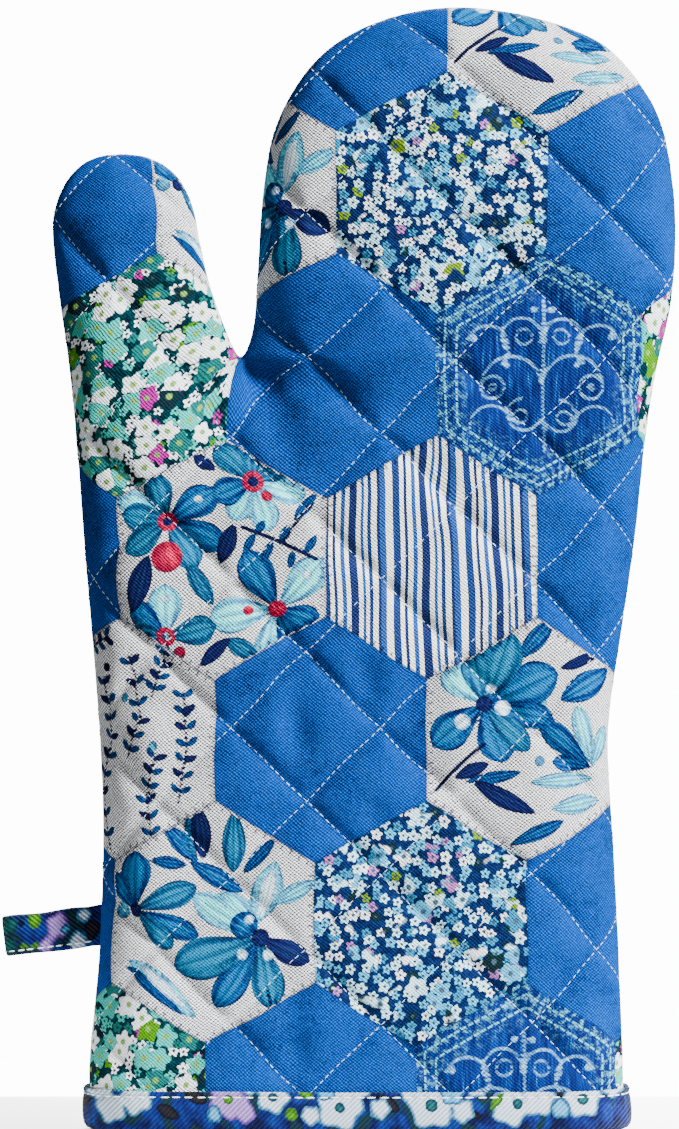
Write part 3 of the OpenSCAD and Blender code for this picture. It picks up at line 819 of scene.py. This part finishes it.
# writes the print's masks, its edges and its inks to the cloth, from flat places in mm
def paintPatches(mesh, spot):
    found = patchCentres(spot[:, 0].min(), spot[:, 0].max(), spot[:, 1].min(), spot[:, 1].max())
    centres = np.array([c[:2] for c in found])
    kinds = np.array([c[2] for c in found])
    square = ((spot[:, None, :] - centres) ** 2).sum(axis=2)
    order = np.argsort(square, axis=1)[:, :2]
    owner, other = order[:, 0], order[:, 1]
    rows = np.arange(len(spot))
    gap = np.linalg.norm(centres[other] - centres[owner], axis=1)
    inEdge = (square[rows, other] - square[rows, owner]) / (2 * gap)
    way = (centres[other] - centres[owner]) / gap[:, None]
    alongEdge = (spot * np.stack([-way[:, 1], way[:, 0]], axis=1)).sum(axis=1)

    def mask(*wanted):
        chosen = np.isin(kinds, wanted)
        if not chosen.any():
            return np.full(len(spot), -3.0)
        nearIn, nearOut = square[:, chosen], square[:, ~chosen]
        a, b = nearIn.argmin(axis=1), nearOut.argmin(axis=1)
        apart = np.linalg.norm(centres[chosen][a] - centres[~chosen][b], axis=1)
        return np.clip((nearOut[rows, b] - nearIn[rows, a]) / (2 * apart), -3, 3)

    addAttribute(mesh, "cloth", asVectors(spot), "FLOAT_VECTOR")
    addAttribute(mesh, "patchEdge", asVectors(np.column_stack([inEdge, alongEdge])), "FLOAT_VECTOR")
    addAttribute(mesh, "patchA", np.column_stack([mask("white", "red", "floral", "twigs"), mask("ditsy"),
                                                  mask("teal")]), "FLOAT_VECTOR")
    addAttribute(mesh, "patchB", asVectors(np.column_stack([mask("scroll"), mask("stripes")])),
                 "FLOAT_VECTOR")
    names = ("sky", "blue", "teal", "navy", "coral", "chalk")
    ink = {name: np.full(len(spot), -3.0) for name in names}
    veins = np.zeros((len(spot), 3))
    for patch in np.unique(owner):
        here = np.nonzero(owner == patch)[0]
        local = spot[here] - centres[patch]
        for name, shapes in motifs.get(kinds[patch], {}).items():
            for shape, *v in shapes:
                deep = inside(local, shape, v)
                over = deep > np.maximum(ink[name][here], -0.7)
                if shape in ("leaf", "petal"):
                    veins[here[over]] = veinFrame(local[over], v)
                ink[name][here] = np.maximum(ink[name][here], deep)
            ink[name][here] = np.minimum(ink[name][here], inEdge[here])
    addAttribute(mesh, "veins", veins, "FLOAT_VECTOR")
    for label, three in (("inkA", names[:3]), ("inkB", names[3:])):
        addAttribute(mesh, label, np.column_stack([np.clip(ink[n], -3, 6) for n in three]), "FLOAT_VECTOR")


# covers: printed canvas, quilted to the wadding
cover = {"backShift": (20.0, 133.0)}   # where the back's print starts, in mm


def spotOf(mesh, back):   # where each place of the cloth lies on the print, in mm
    lattice = readAttribute(mesh, "lattice", 3)
    x = quilt["origin"][0] + quilt["across"] / quilt["cells"] * (lattice[:, 0] + lattice[:, 1])
    z = quilt["origin"][1] + quilt["up"] / quilt["cells"] * (lattice[:, 0] - lattice[:, 1])
    return np.column_stack([cover["backShift"][0] - x, z + cover["backShift"][1]] if back else [x, z])


def flatArea(mesh):   # area of the cloth as cut, and its width and length, in m
    flat = readAttribute(mesh, "flat", 3)[:, :2] * mm
    area = 0
    for face in mesh.polygons:
        p = flat[face.vertices]
        area += abs(np.sum(p[:, 0] * np.roll(p[:, 1], -1) - np.roll(p[:, 0], -1) * p[:, 1])) / 2
    size = flat.max(axis=0) - flat.min(axis=0)
    return float(area), (float(size[0]), float(size[1]))


quilted = stitchedCloth()
print("quilted front:", len(quilted.data.vertices), "vertices")
coarseCloth = quilted.data.copy()
subdivide = quilted.modifiers.new("smooth", "SUBSURF")
subdivide.levels = subdivide.render_levels = 1
fineCloth = applied(quilted)
bpy.data.objects.remove(quilted)


def turnedBack(bm, back):   # the same piece for the back of the mitt
    if back:
        bmesh.ops.transform(bm, matrix=Matrix.Scale(-1, 4, (0, 1, 0)), verts=bm.verts)
        bmesh.ops.reverse_faces(bm, faces=bm.faces)


def fromBmesh(bm, name):
    mesh = bpy.data.meshes.new(name)
    bm.to_mesh(mesh)
    bm.free()
    mesh.shade_smooth()
    return mesh


def makeCover(source, name, back):
    bm = bmesh.new()
    bm.from_mesh(source)
    turnedBack(bm, back)
    for label in ("under", "outward", "sewn"):
        bm.verts.layers.float_vector.remove(bm.verts.layers.float_vector[label])
    mesh = fromBmesh(bm, name)
    paintPatches(mesh, spotOf(mesh, back))
    return mesh


# lining: plain cotton that the quilting draws towards the cover
lining = {"behind": 2.4, "dimple": 0.9, "apart": 0.12}


def innerPlace(v, layers, more=0.0):   # where the layer under the wadding lies behind a place of the cover
    soft, crown, _ = v[layers["sewn"]]
    deep = (quilt["inset"] * soft + lining["behind"] + more * soft * crown) * mm
    at = v[layers["under"]] - v[layers["outward"]] * deep
    at.y = min(at.y, -lining["apart"] * mm)
    at.z = max(at.z, shell["hem"] * mm)
    return at


def makeLining(source, name, back):
    bm = bmesh.new()
    bm.from_mesh(source)
    layers = bm.verts.layers.float_vector
    for v in bm.verts:
        v.co = innerPlace(v, layers, lining["dimple"])
    bmesh.ops.reverse_faces(bm, faces=bm.faces)
    turnedBack(bm, back)
    return fromBmesh(bm, name)


# wadding: a pad between the cover and the lining, thin where the quilting holds it
wadding = {"gap": 0.5, "fill": 0.45}


def makeWadding(source, name, back):
    bm = bmesh.new()
    bm.from_mesh(source)
    bm.normal_update()
    layers = bm.verts.layers.float_vector
    for v in bm.verts:
        v.co = v.co - v.normal * wadding["gap"] * mm
        v.co.y = min(v.co.y, -lining["apart"] * mm)
    grown = bmesh.ops.extrude_face_region(bm, geom=bm.faces[:], use_keep_orig=True)["geom"]
    for v in grown:
        if isinstance(v, bmesh.types.BMVert):
            v.co = innerPlace(v, layers, -0.6)
    bmesh.ops.recalc_face_normals(bm, faces=bm.faces)
    turnedBack(bm, back)
    return fromBmesh(bm, name)


# stitches: short threads laid along a path on the cloth, each a slim bead with its ends sunk in
quilting = {"pitch": 2.25, "length": 1.5, "thick": 0.26, "lift": 0.03}


def addStitches(whole, path, normals, stitch):   # path in m, the stitch in mm
    pitch, length, thick, lift = (stitch[k] for k in ("pitch", "length", "thick", "lift"))
    bm = bmesh.new()
    step = np.linalg.norm(np.diff(path, axis=0), axis=1)
    along = np.concatenate([[0], np.cumsum(step)]) / mm
    count = int((along[-1] - length) / pitch)
    for k in range(count + 1):
        middle = length / 2 + (k + 0.06 * math.sin(k * 2.4)) * pitch
        ends = [np.array([np.interp(m, along, path[:, axis]) for axis in range(3)])
                for m in (middle - length / 2, middle + length / 2)]
        at = Vector([np.interp(middle, along, path[:, axis]) for axis in range(3)])
        up = Vector([np.interp(middle, along, normals[:, axis]) for axis in range(3)]).normalized()
        way = Vector(ends[1] - ends[0]).normalized()
        aside = up.cross(way).normalized()
        up = way.cross(aside)
        scale = Matrix.Diagonal((length / 2 * mm, thick / 2 * mm, thick / 2 * mm, 1))
        turn = Matrix((way, aside, up)).transposed().to_4x4()
        place = Matrix.Translation(at + up * lift * mm) @ turn @ scale @ Matrix.Rotation(math.pi / 2, 4, "Y")
        bmesh.ops.create_uvsphere(bm, u_segments=6, v_segments=5, radius=1, matrix=place)
    row = bpy.data.meshes.new("row")
    bm.to_mesh(row)
    bm.free()
    whole.from_mesh(row)
    bpy.data.meshes.remove(row)


# the quilting lines as chains of places on the split cover, with normals
def quiltingPaths(source, wholeEdge):
    bm = bmesh.new()
    bm.from_mesh(source)
    bm.normal_update()
    lattice = bm.verts.layers.float_vector["lattice"]
    cells = quilt["cells"]
    chains = []
    for own in (0, 1):
        lines = {}
        for v in bm.verts:
            value = v[lattice][own] / cells
            if abs(value - round(value)) < 0.002 and (wholeEdge or not v.is_boundary):
                lines.setdefault(round(value), []).append(v)
        for line in lines.values():
            line.sort(key=lambda v: v[lattice][1 - own])
            run = [line[0]]
            for v in line[1:] + [None]:
                if v is None or v[lattice][1 - own] - run[-1][lattice][1 - own] > 1.2:
                    if len(run) > 4:
                        chains.append((np.array([w.co for w in run]), np.array([w.normal for w in run])))
                    run = []
                if v is not None:
                    run.append(v)
    bm.free()
    return chains


def makeQuilting(source, name, back):
    bm = bmesh.new()
    for path, normals in quiltingPaths(source, name.endswith("Fingers")):
        addStitches(bm, path, normals, quilting)
    turnedBack(bm, back)
    return fromBmesh(bm, name)


def threadMaterial(name, colour):   # twisted cotton thread
    s = Shader(name)
    spot = s.node("TexCoord", {}).outputs["Object"]
    twist = s.node("TexWave", {"Vector": spot, "Scale": 900.0, "Distortion": 1.5},
                   bands_direction="DIAGONAL").outputs["Fac"]
    shade = s.mix(s.math("MULTIPLY", twist, 0.35), colour, (0.086, 0.104, 0.154, 1))
    return s.finish(shade, 0.7, s.bump(twist, 0.00012), sheen=0.1)


def cottonMaterial(name, colour, dark):   # plain woven cotton on the cloth's own coordinates
    s = Shader(name)
    spot = s.attribute("flat")
    threads, yarn = weave(s, spot, 0.7, 0.7)
    shade = s.mix(s.math("MULTIPLY", yarn, 0.5), colour, dark)
    shade = s.mix(s.math("MULTIPLY", s.noise(spot, 0.04, 3.0), 0.25), shade, dark)
    return s.finish(shade, 0.9, s.bump(s.math("ADD", threads, yarn), 0.00014), sheen=0.1)


def waddingMaterial():   # matted polyester fibre
    s = Shader("wadding")
    spot = s.node("TexCoord", {}).outputs["Object"]
    fibre = s.noise(s.stretched(spot, (1, 1, 0.35)), 1400.0, 5.0, 0.75)
    clouds = s.noise(spot, 90.0, 3.0)
    shade = s.mix(fibre, (0.772, 0.736, 0.499, 1), (0.88, 0.88, 0.88, 1))
    shade = s.mix(s.math("MULTIPLY", clouds, 0.3), shade, (0.36, 0.345, 0.259, 1))
    return s.finish(shade, 0.95, s.bump(s.math("ADD", fibre, clouds), 0.0004), sheen=0.2)


linen = cottonMaterial("liningCotton", (0.644, 0.616, 0.432, 1), (0.224, 0.208, 0.154, 1))
fibre = waddingMaterial()
whiteThread = threadMaterial("quiltingThread", (0.6, 0.7, 0.78, 1))
fineHalves = splitAtFold(fineCloth, "fine")
coarseHalves = splitAtFold(coarseCloth, "coarse")
for side in ("front", "back"):
    back = side == "back"
    for part, fine, coarse in zip(("Hand", "Fingers"), fineHalves, coarseHalves):
        area, size = flatArea(coarse)
        name = side + "Wadding" + part
        pad = put(makeWadding(coarse, name, back), name, fibre, "wadding")
        name = side + "Cover" + part
        outer = put(makeCover(fine, name, back), name, canvas, "printed_canvas")
        name = side + "Lining" + part
        under = put(makeLining(coarse, name, back), name, linen, "lining_cotton")
        name = side + "Quilting" + part
        thread = put(makeQuilting(fine, name, back), name, whiteThread, "quilting_thread")
        for piece, layer in ((pad, "padding"), (outer, "cover"), (under, "lining"), (thread, "quilting")):
            bendAtFold(piece)
            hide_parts(*nodesOf(side, layer, part))
    print(side, "half done,", "flat size", [round(x, 3) for x in size], "m")


def rolled(columns, rows):   # a grid from 0 to 1 both ways, to be rolled up into a tube
    bm = bmesh.new()
    bmesh.ops.create_grid(bm, x_segments=columns, y_segments=rows, size=0.5)
    for v in bm.verts:
        v.co = (v.co.x + 0.5, v.co.y + 0.5, 0)
    return bm


def crossSection(turn, width, thick, sharp):   # a rounded oblong: across and through, in the unit given
    c, q = math.cos(turn), math.sin(turn)
    return (width / 2 * math.copysign(abs(c) ** sharp, c), thick / 2 * math.copysign(abs(q) ** sharp, q))


# overlocked seam: the sewn edges of both halves, inside the mitt, with thread wrapped over them
overlock = {"from": 2.0, "width": 6.2, "thick": 2.0, "loop": 2.6, "wrap": 0.22, "step": 3}


def makeSeam(name, indices):
    line, way = seamLine[indices] * mm, inward[indices]
    bm = rolled(len(indices) - 1, 12)
    coords = bm.verts.layers.float_vector.new("tape")
    for v in bm.verts:
        k, turn = round(v.co.x * (len(indices) - 1)), v.co.y * 2 * math.pi
        across, through = crossSection(turn, overlock["width"], overlock["thick"], 0.6)
        run = k * overlock["step"] * outline["step"]
        atEdge = 1.0 if across > 0 else 0.4
        swell = 1 + overlock["wrap"] * math.sin(run * 2 * math.pi / overlock["loop"]) * atEdge
        deep = (overlock["from"] + overlock["width"] / 2 + across) * mm
        v[coords] = (run, across, turn)
        v.co = (line[k][0] + way[k][0] * deep, through * swell * mm, line[k][1] + way[k][1] * deep)
    bmesh.ops.remove_doubles(bm, verts=bm.verts, dist=1e-6)
    bmesh.ops.holes_fill(bm, edges=[e for e in bm.edges if e.is_boundary], sides=0)
    bmesh.ops.recalc_face_normals(bm, faces=bm.faces)
    return fromBmesh(bm, name)


def overlockMaterial():
    s = Shader("overlockThread")
    run, across, _ = s.split(s.attribute("tape"))
    slanted = s.math("ADD", run, s.math("MULTIPLY", across, 0.35))
    loops = s.math("SINE", s.math("MULTIPLY", slanted, 2 * math.pi / 1.3))
    spot = s.node("TexCoord", {}).outputs["Object"]
    fuzz = s.noise(spot, 900.0, 4.0, 0.7)
    shade = s.mix(s.above(loops, -0.2, 0.3), (0.088, 0.101, 0.135, 1), (0.88, 0.88, 0.88, 1))
    shade = s.mix(s.math("MULTIPLY", fuzz, 0.3), shade, (0.26, 0.292, 0.383, 1))
    return s.finish(shade, 0.8, s.bump(s.math("ADD", loops, fuzz), 0.0003), sheen=0.1)


hemStart = int(np.argmax(seamLine[:, 1] >= 8))
hemEnd = len(seamLine) - 1 - int(np.argmax(seamLine[::-1, 1] >= 8))
seams = {"Hand": np.arange(hemStart, crotchIndex - 10, overlock["step"]),
         "Fingers": np.arange(crotchIndex + 10, hemEnd, overlock["step"])}
wrapThread = overlockMaterial()
for part, indices in seams.items():
    seam = put(makeSeam("overlockedSeam" + part, indices), "overlockedSeam" + part, wrapThread,
               "overlock_thread")
    bendAtFold(seam)
    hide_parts(*nodesOf("overlocked", "seam", part))
print("overlocked seam:", sum(len(k) for k in seams.values()), "steps")


# cuff binding: a floral tape folded over the raw hem, with its edges turned under
binding = {"columns": 420, "topstitch": 10.7,
           # across the tape: height above the table and how far outside the mitt's smooth surface, in mm
           "profile": [(9.0, -0.5), (11.4, -0.3), (12.2, 0.25), (12.3, 0.75), (11.9, 1.15), (11.2, 1.0),
                       (10.7, 0.8), (10.2, 1.05), (9.4, 1.3), (7.6, 1.55), (5.4, 1.65), (3.4, 1.6),
                       (1.8, 1.3), (0.7, 0.6), (0.1, -0.8), (0.0, -2.6), (0.1, -5.0), (0.6, -6.4),
                       (1.8, -7.0), (4.0, -7.3), (7.0, -7.3), (10.0, -7.1), (11.6, -6.8), (12.0, -6.3)]}


def cuffRing(height, count):   # a closed line round the mitt at one height: places and outward directions
    ends = [np.interp(height, seamLine[k, 1], seamLine[k, 0]) for k in (slice(0, 400), slice(-1, -400, -1))]
    half = count // 2
    even = np.linspace(0, 1, half, endpoint=False)
    share = (1 - np.cos(even * math.pi)) / 2 * 0.25 + even * 0.75   # closer together at the sides
    x = ends[0] - spare + share * (ends[1] - ends[0] + 2 * spare)
    flat = np.column_stack([x, np.full(half, float(height))])
    place, depth, _, _ = shellPlace(flat)
    depth[0] = 0
    front = np.column_stack([place[:, 0], -depth])
    ending = np.array([[ends[1] - shell["groove"], 0.0]])
    behind = (front[1:] * (1, -1))[::-1]
    ring = np.vstack([front, ending, behind])
    way = np.roll(ring, -1, axis=0) - np.roll(ring, 1, axis=0)
    way /= np.linalg.norm(way, axis=1)[:, None]
    return ring, np.column_stack([way[:, 1], -way[:, 0]])


# the tape's line at one height and offset, with slight puckers at its stitched edge
def bindingPoint(height, off):
    ring, out = cuffRing(max(height, 0.5), binding["columns"])
    run = np.concatenate([[0], np.cumsum(np.linalg.norm(np.diff(ring, axis=0), axis=1))])
    pucker = 0.16 * np.sin(run * 2 * math.pi / 3.6) * math.exp(-((height - 11.0) / 1.6) ** 2)
    sway = 0.35 * np.sin(run / 23.0) + 0.2 * np.sin(run / 9.0 + 1)
    return ring + out * (off + pucker * (off > -1))[:, None], out, run, sway


def makeBinding():
    profile = np.array(binding["profile"])
    lines = [bindingPoint(h, o) for h, o in profile]
    count = len(lines[0][0])
    girth = np.concatenate([[0], np.cumsum(np.linalg.norm(np.diff(profile, axis=0), axis=1))])
    bm = rolled(count, len(profile) - 1)
    coords = bm.verts.layers.float_vector.new("tape")
    for v in bm.verts:
        k, row = round(v.co.x * count), round(v.co.y * (len(profile) - 1))
        ring, _, run, sway = lines[row]
        at = ring[k % count]
        lift = 0.25 * sway[k % count] * smoothStep(profile[row][0], 4, 10)
        v[coords] = (at[0], girth[row], run[k % count])
        v.co = (at[0] * mm, at[1] * mm, (profile[row][0] + lift) * mm)
    bmesh.ops.remove_doubles(bm, verts=bm.verts, dist=1e-7)
    bmesh.ops.recalc_face_normals(bm, faces=bm.faces)
    besideSeam = [v for v in bm.verts if abs(v.co.y) < 0.004]
    bmesh.ops.smooth_vert(bm, verts=besideSeam, factor=0.5, **{**allWays, "use_axis_z": False})
    return fromBmesh(bm, "cuffBinding")


tapeMotifs = {   # the binding's flowers in mm: across the mitt and up from the hem
    "chalk": [("disc", -66, 9, 4.6), ("disc", -59, 6, 5), ("disc", -70, 3.5, 4), ("disc", -19, 5.6, 4.8),
              ("disc", 0.4, 8.6, 6.6), ("disc", 5, 3.2, 4), ("disc", 27, 8, 6.8), ("disc", 21, 3.4, 3.6),
              ("disc", 50, 8.6, 5.6), ("disc", 58, 6.4, 5), ("disc", 71, 6.4, 5.4), ("disc", -8, 11, 3.0),
              ("disc", 40, 2.6, 3.2), ("disc", 36, 9.6, 3.6), ("disc", 12, 9, 3.2), ("disc", -26, 2.2, 3.0),
              ("disc", 80, 3, 3.4), ("disc", 49, 2.6, 3.0)],
    "sky": [("disc", 33, 4.4, 3.6), ("disc", -3.6, 3.6, 3), ("disc", 64.5, 9, 3), ("disc", -36, 10.6, 2.6)],
    "lavender": [("disc", -32, 6.4, 5.6), ("disc", -27, 10.4, 3)],
    "teal": [("disc", 71, 6.4, 1.8), ("disc", 27, 8, 2.0), ("disc", 0.4, 8.6, 1.7), ("disc", 52, 7.6, 1.7),
             ("disc", -19, 5.6, 1.5)],
    "lime": [("disc", -13.6, 10.6, 2.0), ("leaf", -12, 3, -7, 6, 3), ("leaf", 44, 9.5, 48, 4, 2.6),
             ("disc", -32, 6.4, 1.5)],
    "dark": [("leaf", -53, 8, -46, 12, 4.0), ("leaf", -45, 3.6, -38, 7.6, 4.0), ("leaf", 11, 5, 18, 10, 4),
             ("leaf", 62, 2, 66, 6, 3), ("disc", -75, 6, 3.4), ("leaf", 34, 9, 42, 11.5, 3)],
}
loopMotifs = {
    "chalk": [("disc", -77.2, -3.6, 3.0), ("disc", -74.5, 3.4, 2.4)],
    "sky": [("disc", -80.4, 0.4, 1.7)],
    "lavender": [("disc", -82, 1.6, 3.7), ("disc", -86.6, -3.8, 2.2)],
    "teal": [("disc", -96.8, 3.0, 3.2), ("disc", -97.4, -3, 2.8)],
    "lime": [("disc", -88.8, 4.2, 2.0), ("arc", -91, -0.6, 3.4, 1.2, 200, 340)],
    "dark": [("disc", -72.6, -1, 3.0), ("leaf", -93.6, 5, -91, 0.5, 2.2)],
}


def paintTape(mesh, found):   # the tape's inks, from its places across the mitt and up the tape
    tape = readAttribute(mesh, "tape", 3)[:, :2]
    values = {}
    for name, shapes in found.items():
        values[name] = np.full(len(tape), -3.0)
        for shape, *v in shapes:
            deep = inside(tape, shape, v)
            if shape == "disc" and v[2] > 2.4:   # the larger discs are flowers of five petals
                turn = np.arctan2(tape[:, 1] - v[1], tape[:, 0] - v[0])
                deep = deep - 0.24 * v[2] * (0.5 - 0.5 * np.cos(5 * turn + v[0])) + 0.12 * v[2]
            values[name] = np.maximum(values[name], deep)
    addAttribute(mesh, "inkA", np.column_stack([values[n] for n in ("chalk", "sky", "lavender")]),
                 "FLOAT_VECTOR")
    addAttribute(mesh, "inkB", np.column_stack([values[n] for n in ("teal", "lime", "dark")]), "FLOAT_VECTOR")


def tapeMaterial(name):   # floral twill tape, with painted shade in the twill's grooves
    s = Shader(name)
    spot = s.attribute("tape")
    across, up, _ = s.split(spot)
    diagonal = s.math("MULTIPLY", s.math("ADD", across, up), 2 * math.pi / 1.5)
    twill = s.node("MapRange", {0: s.math("SINE", diagonal), 1: -1.0, 2: 1.0}).outputs[0]
    yarn = s.noise(spot, 1.6, 3.0, 0.6)
    wash = s.noise(spot, 0.16, 3.0, 0.6)
    colour = s.ramp(wash, [(0.38, (0.002, 0.003, 0.026, 1)), (0.52, (0.004, 0.01, 0.09, 1)),
                           (0.68, (0.0025, 0.028, 0.18, 1))])
    cloud = s.noise(s.stretched(spot, (1, 1, 1), shift=(7, 0, 0)), 0.13, 2.0)
    colour = s.mix(s.above(cloud, 0.57, 0.03), colour, (0.0037, 0.018, 0.026, 1))
    chalk, sky, lavender = s.split(s.attribute("inkA"))
    teal, lime, dark = s.split(s.attribute("inkB"))
    paints = (   # how far inside each ink, then its edge and its body
        (dark, (0.0024, 0.0032, 0.0076, 1), (0.011, 0.0096, 0.013, 1)),
        (chalk, (0.02, 0.11, 0.21, 1), (0.42, 0.52, 0.6, 1)),
        (lavender, (0.08, 0.031, 0.195, 1), inks["lavender"]),
        (sky, (0.0084, 0.07, 0.156, 1), inks["sky"]),
        (teal, (0.0055, 0.027, 0.043, 1), (0.0049, 0.09, 0.088, 1)),
        (lime, (0.023, 0.094, 0.0068, 1), inks["lime"]),
    )
    for value, edgeInk, body in paints:
        deep = s.math("ADD", value, s.math("MULTIPLY", s.math("SUBTRACT", yarn, 0.5), 0.8))
        colour = s.mix(s.above(value, 0, 0.14), colour, s.mix(s.above(deep, 0.8, 0.4), edgeInk, body))
    # painted shade: the tape's colours are multiplied darker in the grooves between the twill's ridges
    shade = s.mix(s.math("MULTIPLY", s.math("SUBTRACT", 1.0, twill), 0.5), (1, 1, 1, 1), linear(84, 92, 120))
    height = s.math("ADD", twill, s.math("MULTIPLY", yarn, 0.6))
    return s.finish(s.mix(1.0, colour, shade, "MULTIPLY"), 0.85, s.bump(height, 0.0003), sheen=0.04)


floralTape = tapeMaterial("bindingTape")
bindingMesh = makeBinding()
paintTape(bindingMesh, tapeMotifs)
bindingPiece = put(bindingMesh, "cuffBinding", floralTape, "binding_tape")
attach(bindingPiece, "hand")
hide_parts("cuff_binding")

# binding topstitch: one row of white thread just under the tape's upper edge, outside
topstitch = {"pitch": 3.6, "length": 2.7, "thick": 0.48, "lift": 0.1}
ring, out, _, _ = bindingPoint(binding["topstitch"], 0.85)
rowPath = np.column_stack([ring[:, 0], ring[:, 1], np.full(len(ring), binding["topstitch"])]) * mm
rowPath = np.vstack([rowPath, rowPath[:1]])
rowNormals = np.column_stack([out[:, 0], out[:, 1], np.zeros(len(out))])
rowNormals = np.vstack([rowNormals, rowNormals[:1]])
bm = bmesh.new()
addStitches(bm, rowPath, rowNormals, topstitch)
brightThread = threadMaterial("topstitchThread", (0.88, 0.88, 0.88, 1))
rowPiece = put(fromBmesh(bm, "bindingTopstitch"), "bindingTopstitch", brightThread, "topstitch_thread")
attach(rowPiece, "hand")
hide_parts("binding_topstitch")
print("cuff binding:", len(bindingMesh.vertices), "vertices")

# hanging loop: the same tape folded lengthways, bent round and caught in the side seam
loop = {"axisX": -73.0, "axisZ": 59.0, "tilt": 7.0, "width": 11.6, "thick": 1.3,
        "stitchStart": -72.4, "stitchInset": 1.5,
        "stitch": {"pitch": 2.9, "length": 2.2, "thick": 0.5, "lift": 0.06},
        # the bend seen from above: across the mitt, and in front of the middle plane, in mm
        "bend": [(-66.6, 0.72), (-71.0, 0.74), (-74.0, 0.95), (-78.0, 2.2), (-84.0, 3.5), (-90.0, 3.9),
                 (-94.6, 3.2), (-97.2, 1.6), (-98.0, 0.0)]}


def loopPath():
    outer = spline(loop["bend"], 0.8)
    other = (outer[:-1] * (1, -1))[::-1]
    path = np.vstack([outer * (1, -1), other * (1, -1)])
    way = np.gradient(path, axis=0)
    way /= np.linalg.norm(way, axis=1)[:, None]
    return path, np.column_stack([-way[:, 1], way[:, 0]])


def loopTurn():   # the loop leans with the seam, about its own axis
    at = Matrix.Translation((loop["axisX"] * mm, 0, loop["axisZ"] * mm))
    return at @ Matrix.Rotation(math.radians(-loop["tilt"]), 4, "Y") @ at.inverted()


def makeLoop(name):   # the tape rolled round the path
    path, out = loopPath()
    bm = rolled(len(path) - 1, 16)
    coords = bm.verts.layers.float_vector.new("tape")
    for v in bm.verts:
        k, turn = round(v.co.x * (len(path) - 1)), v.co.y * 2 * math.pi
        up, through = crossSection(turn, loop["width"], loop["thick"], 0.5)
        along = abs(path[k][0] - loop["axisX"])
        up += 0.25 * math.sin(along / 3.0) * (up > 0) - 0.2 * math.sin(along / 4.2) * (up < 0)
        v[coords] = (path[k][0], up, turn)
        v.co = ((path[k][0] + out[k][0] * through) * mm, (path[k][1] + out[k][1] * through) * mm,
                (loop["axisZ"] + up) * mm)
    bmesh.ops.remove_doubles(bm, verts=bm.verts, dist=1e-7)
    bmesh.ops.holes_fill(bm, edges=[e for e in bm.edges if e.is_boundary], sides=0)
    bmesh.ops.recalc_face_normals(bm, faces=bm.faces)
    bmesh.ops.transform(bm, matrix=loopTurn(), verts=bm.verts)
    return fromBmesh(bm, name)


loopMesh = makeLoop("hangingLoop")
paintTape(loopMesh, loopMotifs)
loopPiece = put(loopMesh, "hangingLoop", floralTape, "loop_tape")
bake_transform(loopPiece)
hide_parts("hanging_loop", "loop_sewn_ends")

# loop edge stitch: a row of thread on each face of the tape, near its lower edge
path, out = loopPath()
edge = path[:, 0] < loop["stitchStart"]
bm = bmesh.new()
stitchHeight = loop["axisZ"] - loop["width"] / 2 + loop["stitchInset"]
edgeLine = np.column_stack([path[edge], np.full(edge.sum(), stitchHeight)])
sideways = np.column_stack([out[edge], np.zeros(edge.sum())])
for face in (-1, 1):
    offset = edgeLine + sideways * face * (loop["thick"] / 2)
    addStitches(bm, offset * mm, sideways * face, loop["stitch"])
bmesh.ops.transform(bm, matrix=loopTurn(), verts=bm.verts)
edgePiece = put(fromBmesh(bm, "loopEdgeStitch"), "loopEdgeStitch", brightThread, "topstitch_thread")
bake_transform(edgePiece)
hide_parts("loop_edge_stitch")
print("hanging loop:", len(loopMesh.vertices), "vertices")

# stage: a small pale floor, a camera at the front, and soft light
studio = {"floor": 0.13, "key": 150.0, "fill": 3.0, "world": 0.42, "backdrop": 14.0, "floorLight": 60.0,
          "cameraAt": (0.0003, -2, 0.1654), "viewHeight": 0.332}   # in m, and lamps in W
bm = bmesh.new()
bmesh.ops.create_grid(bm, x_segments=2, y_segments=2, size=studio["floor"])
floor = put(fromBmesh(bm, "floor"), "floor", bpy.data.materials.new("floorWhite"), "none")
floor.data.transform(Matrix.Translation((0, 0, -0.0012)))
floorShader = Shader("paleFloor")
floor.data.materials[0] = floorShader.finish(linear(250, 250, 250), 0.9)
del floor["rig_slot"]

camera = bpy.data.objects.new("camera", bpy.data.cameras.new("camera"))
bpy.context.collection.objects.link(camera)
camera.location = studio["cameraAt"]
camera.rotation_euler = (math.pi / 2, 0, 0)
camera.data.sensor_fit = "VERTICAL"
camera.data.sensor_height = 24
camera.data.lens = -studio["cameraAt"][1] * camera.data.sensor_height / studio["viewHeight"]
bpy.context.scene.camera = camera


def areaLight(name, place, size, power, aim=(0, 0, 0.17)):
    lamp = bpy.data.objects.new(name, bpy.data.lights.new(name, "AREA"))
    bpy.context.collection.objects.link(lamp)
    lamp.data.shape = "DISK"
    lamp.data.size = size
    lamp.data.energy = power
    lamp.location = place
    lamp.rotation_euler = (Vector(aim) - Vector(place)).to_track_quat("-Z", "Y").to_euler()
    return lamp


areaLight("key", (1.05, -0.72, 0.95), 0.32, studio["key"])
areaLight("fill", (-0.9, -1.3, 0.5), 1.2, studio["fill"])
areaLight("floorLight", (0.1, 0.7, 0.6), 0.5, studio["floorLight"], (0, 0.06, 0))
world = bpy.data.worlds.new("studioWorld")
world.use_nodes = True
background = world.node_tree.nodes["Background"]
background.inputs["Color"].default_value = (1, 1, 1, 1)
# the backdrop looks white, and lights the mitt only softly
seen = world.node_tree.nodes.new("ShaderNodeLightPath")
bright = world.node_tree.nodes.new("ShaderNodeMapRange")
bright.inputs["To Min"].default_value = studio["world"]
bright.inputs["To Max"].default_value = studio["backdrop"]
world.node_tree.links.new(seen.outputs["Is Camera Ray"], bright.inputs["Value"])
world.node_tree.links.new(bright.outputs[0], background.inputs["Strength"])
bpy.context.scene.world = world
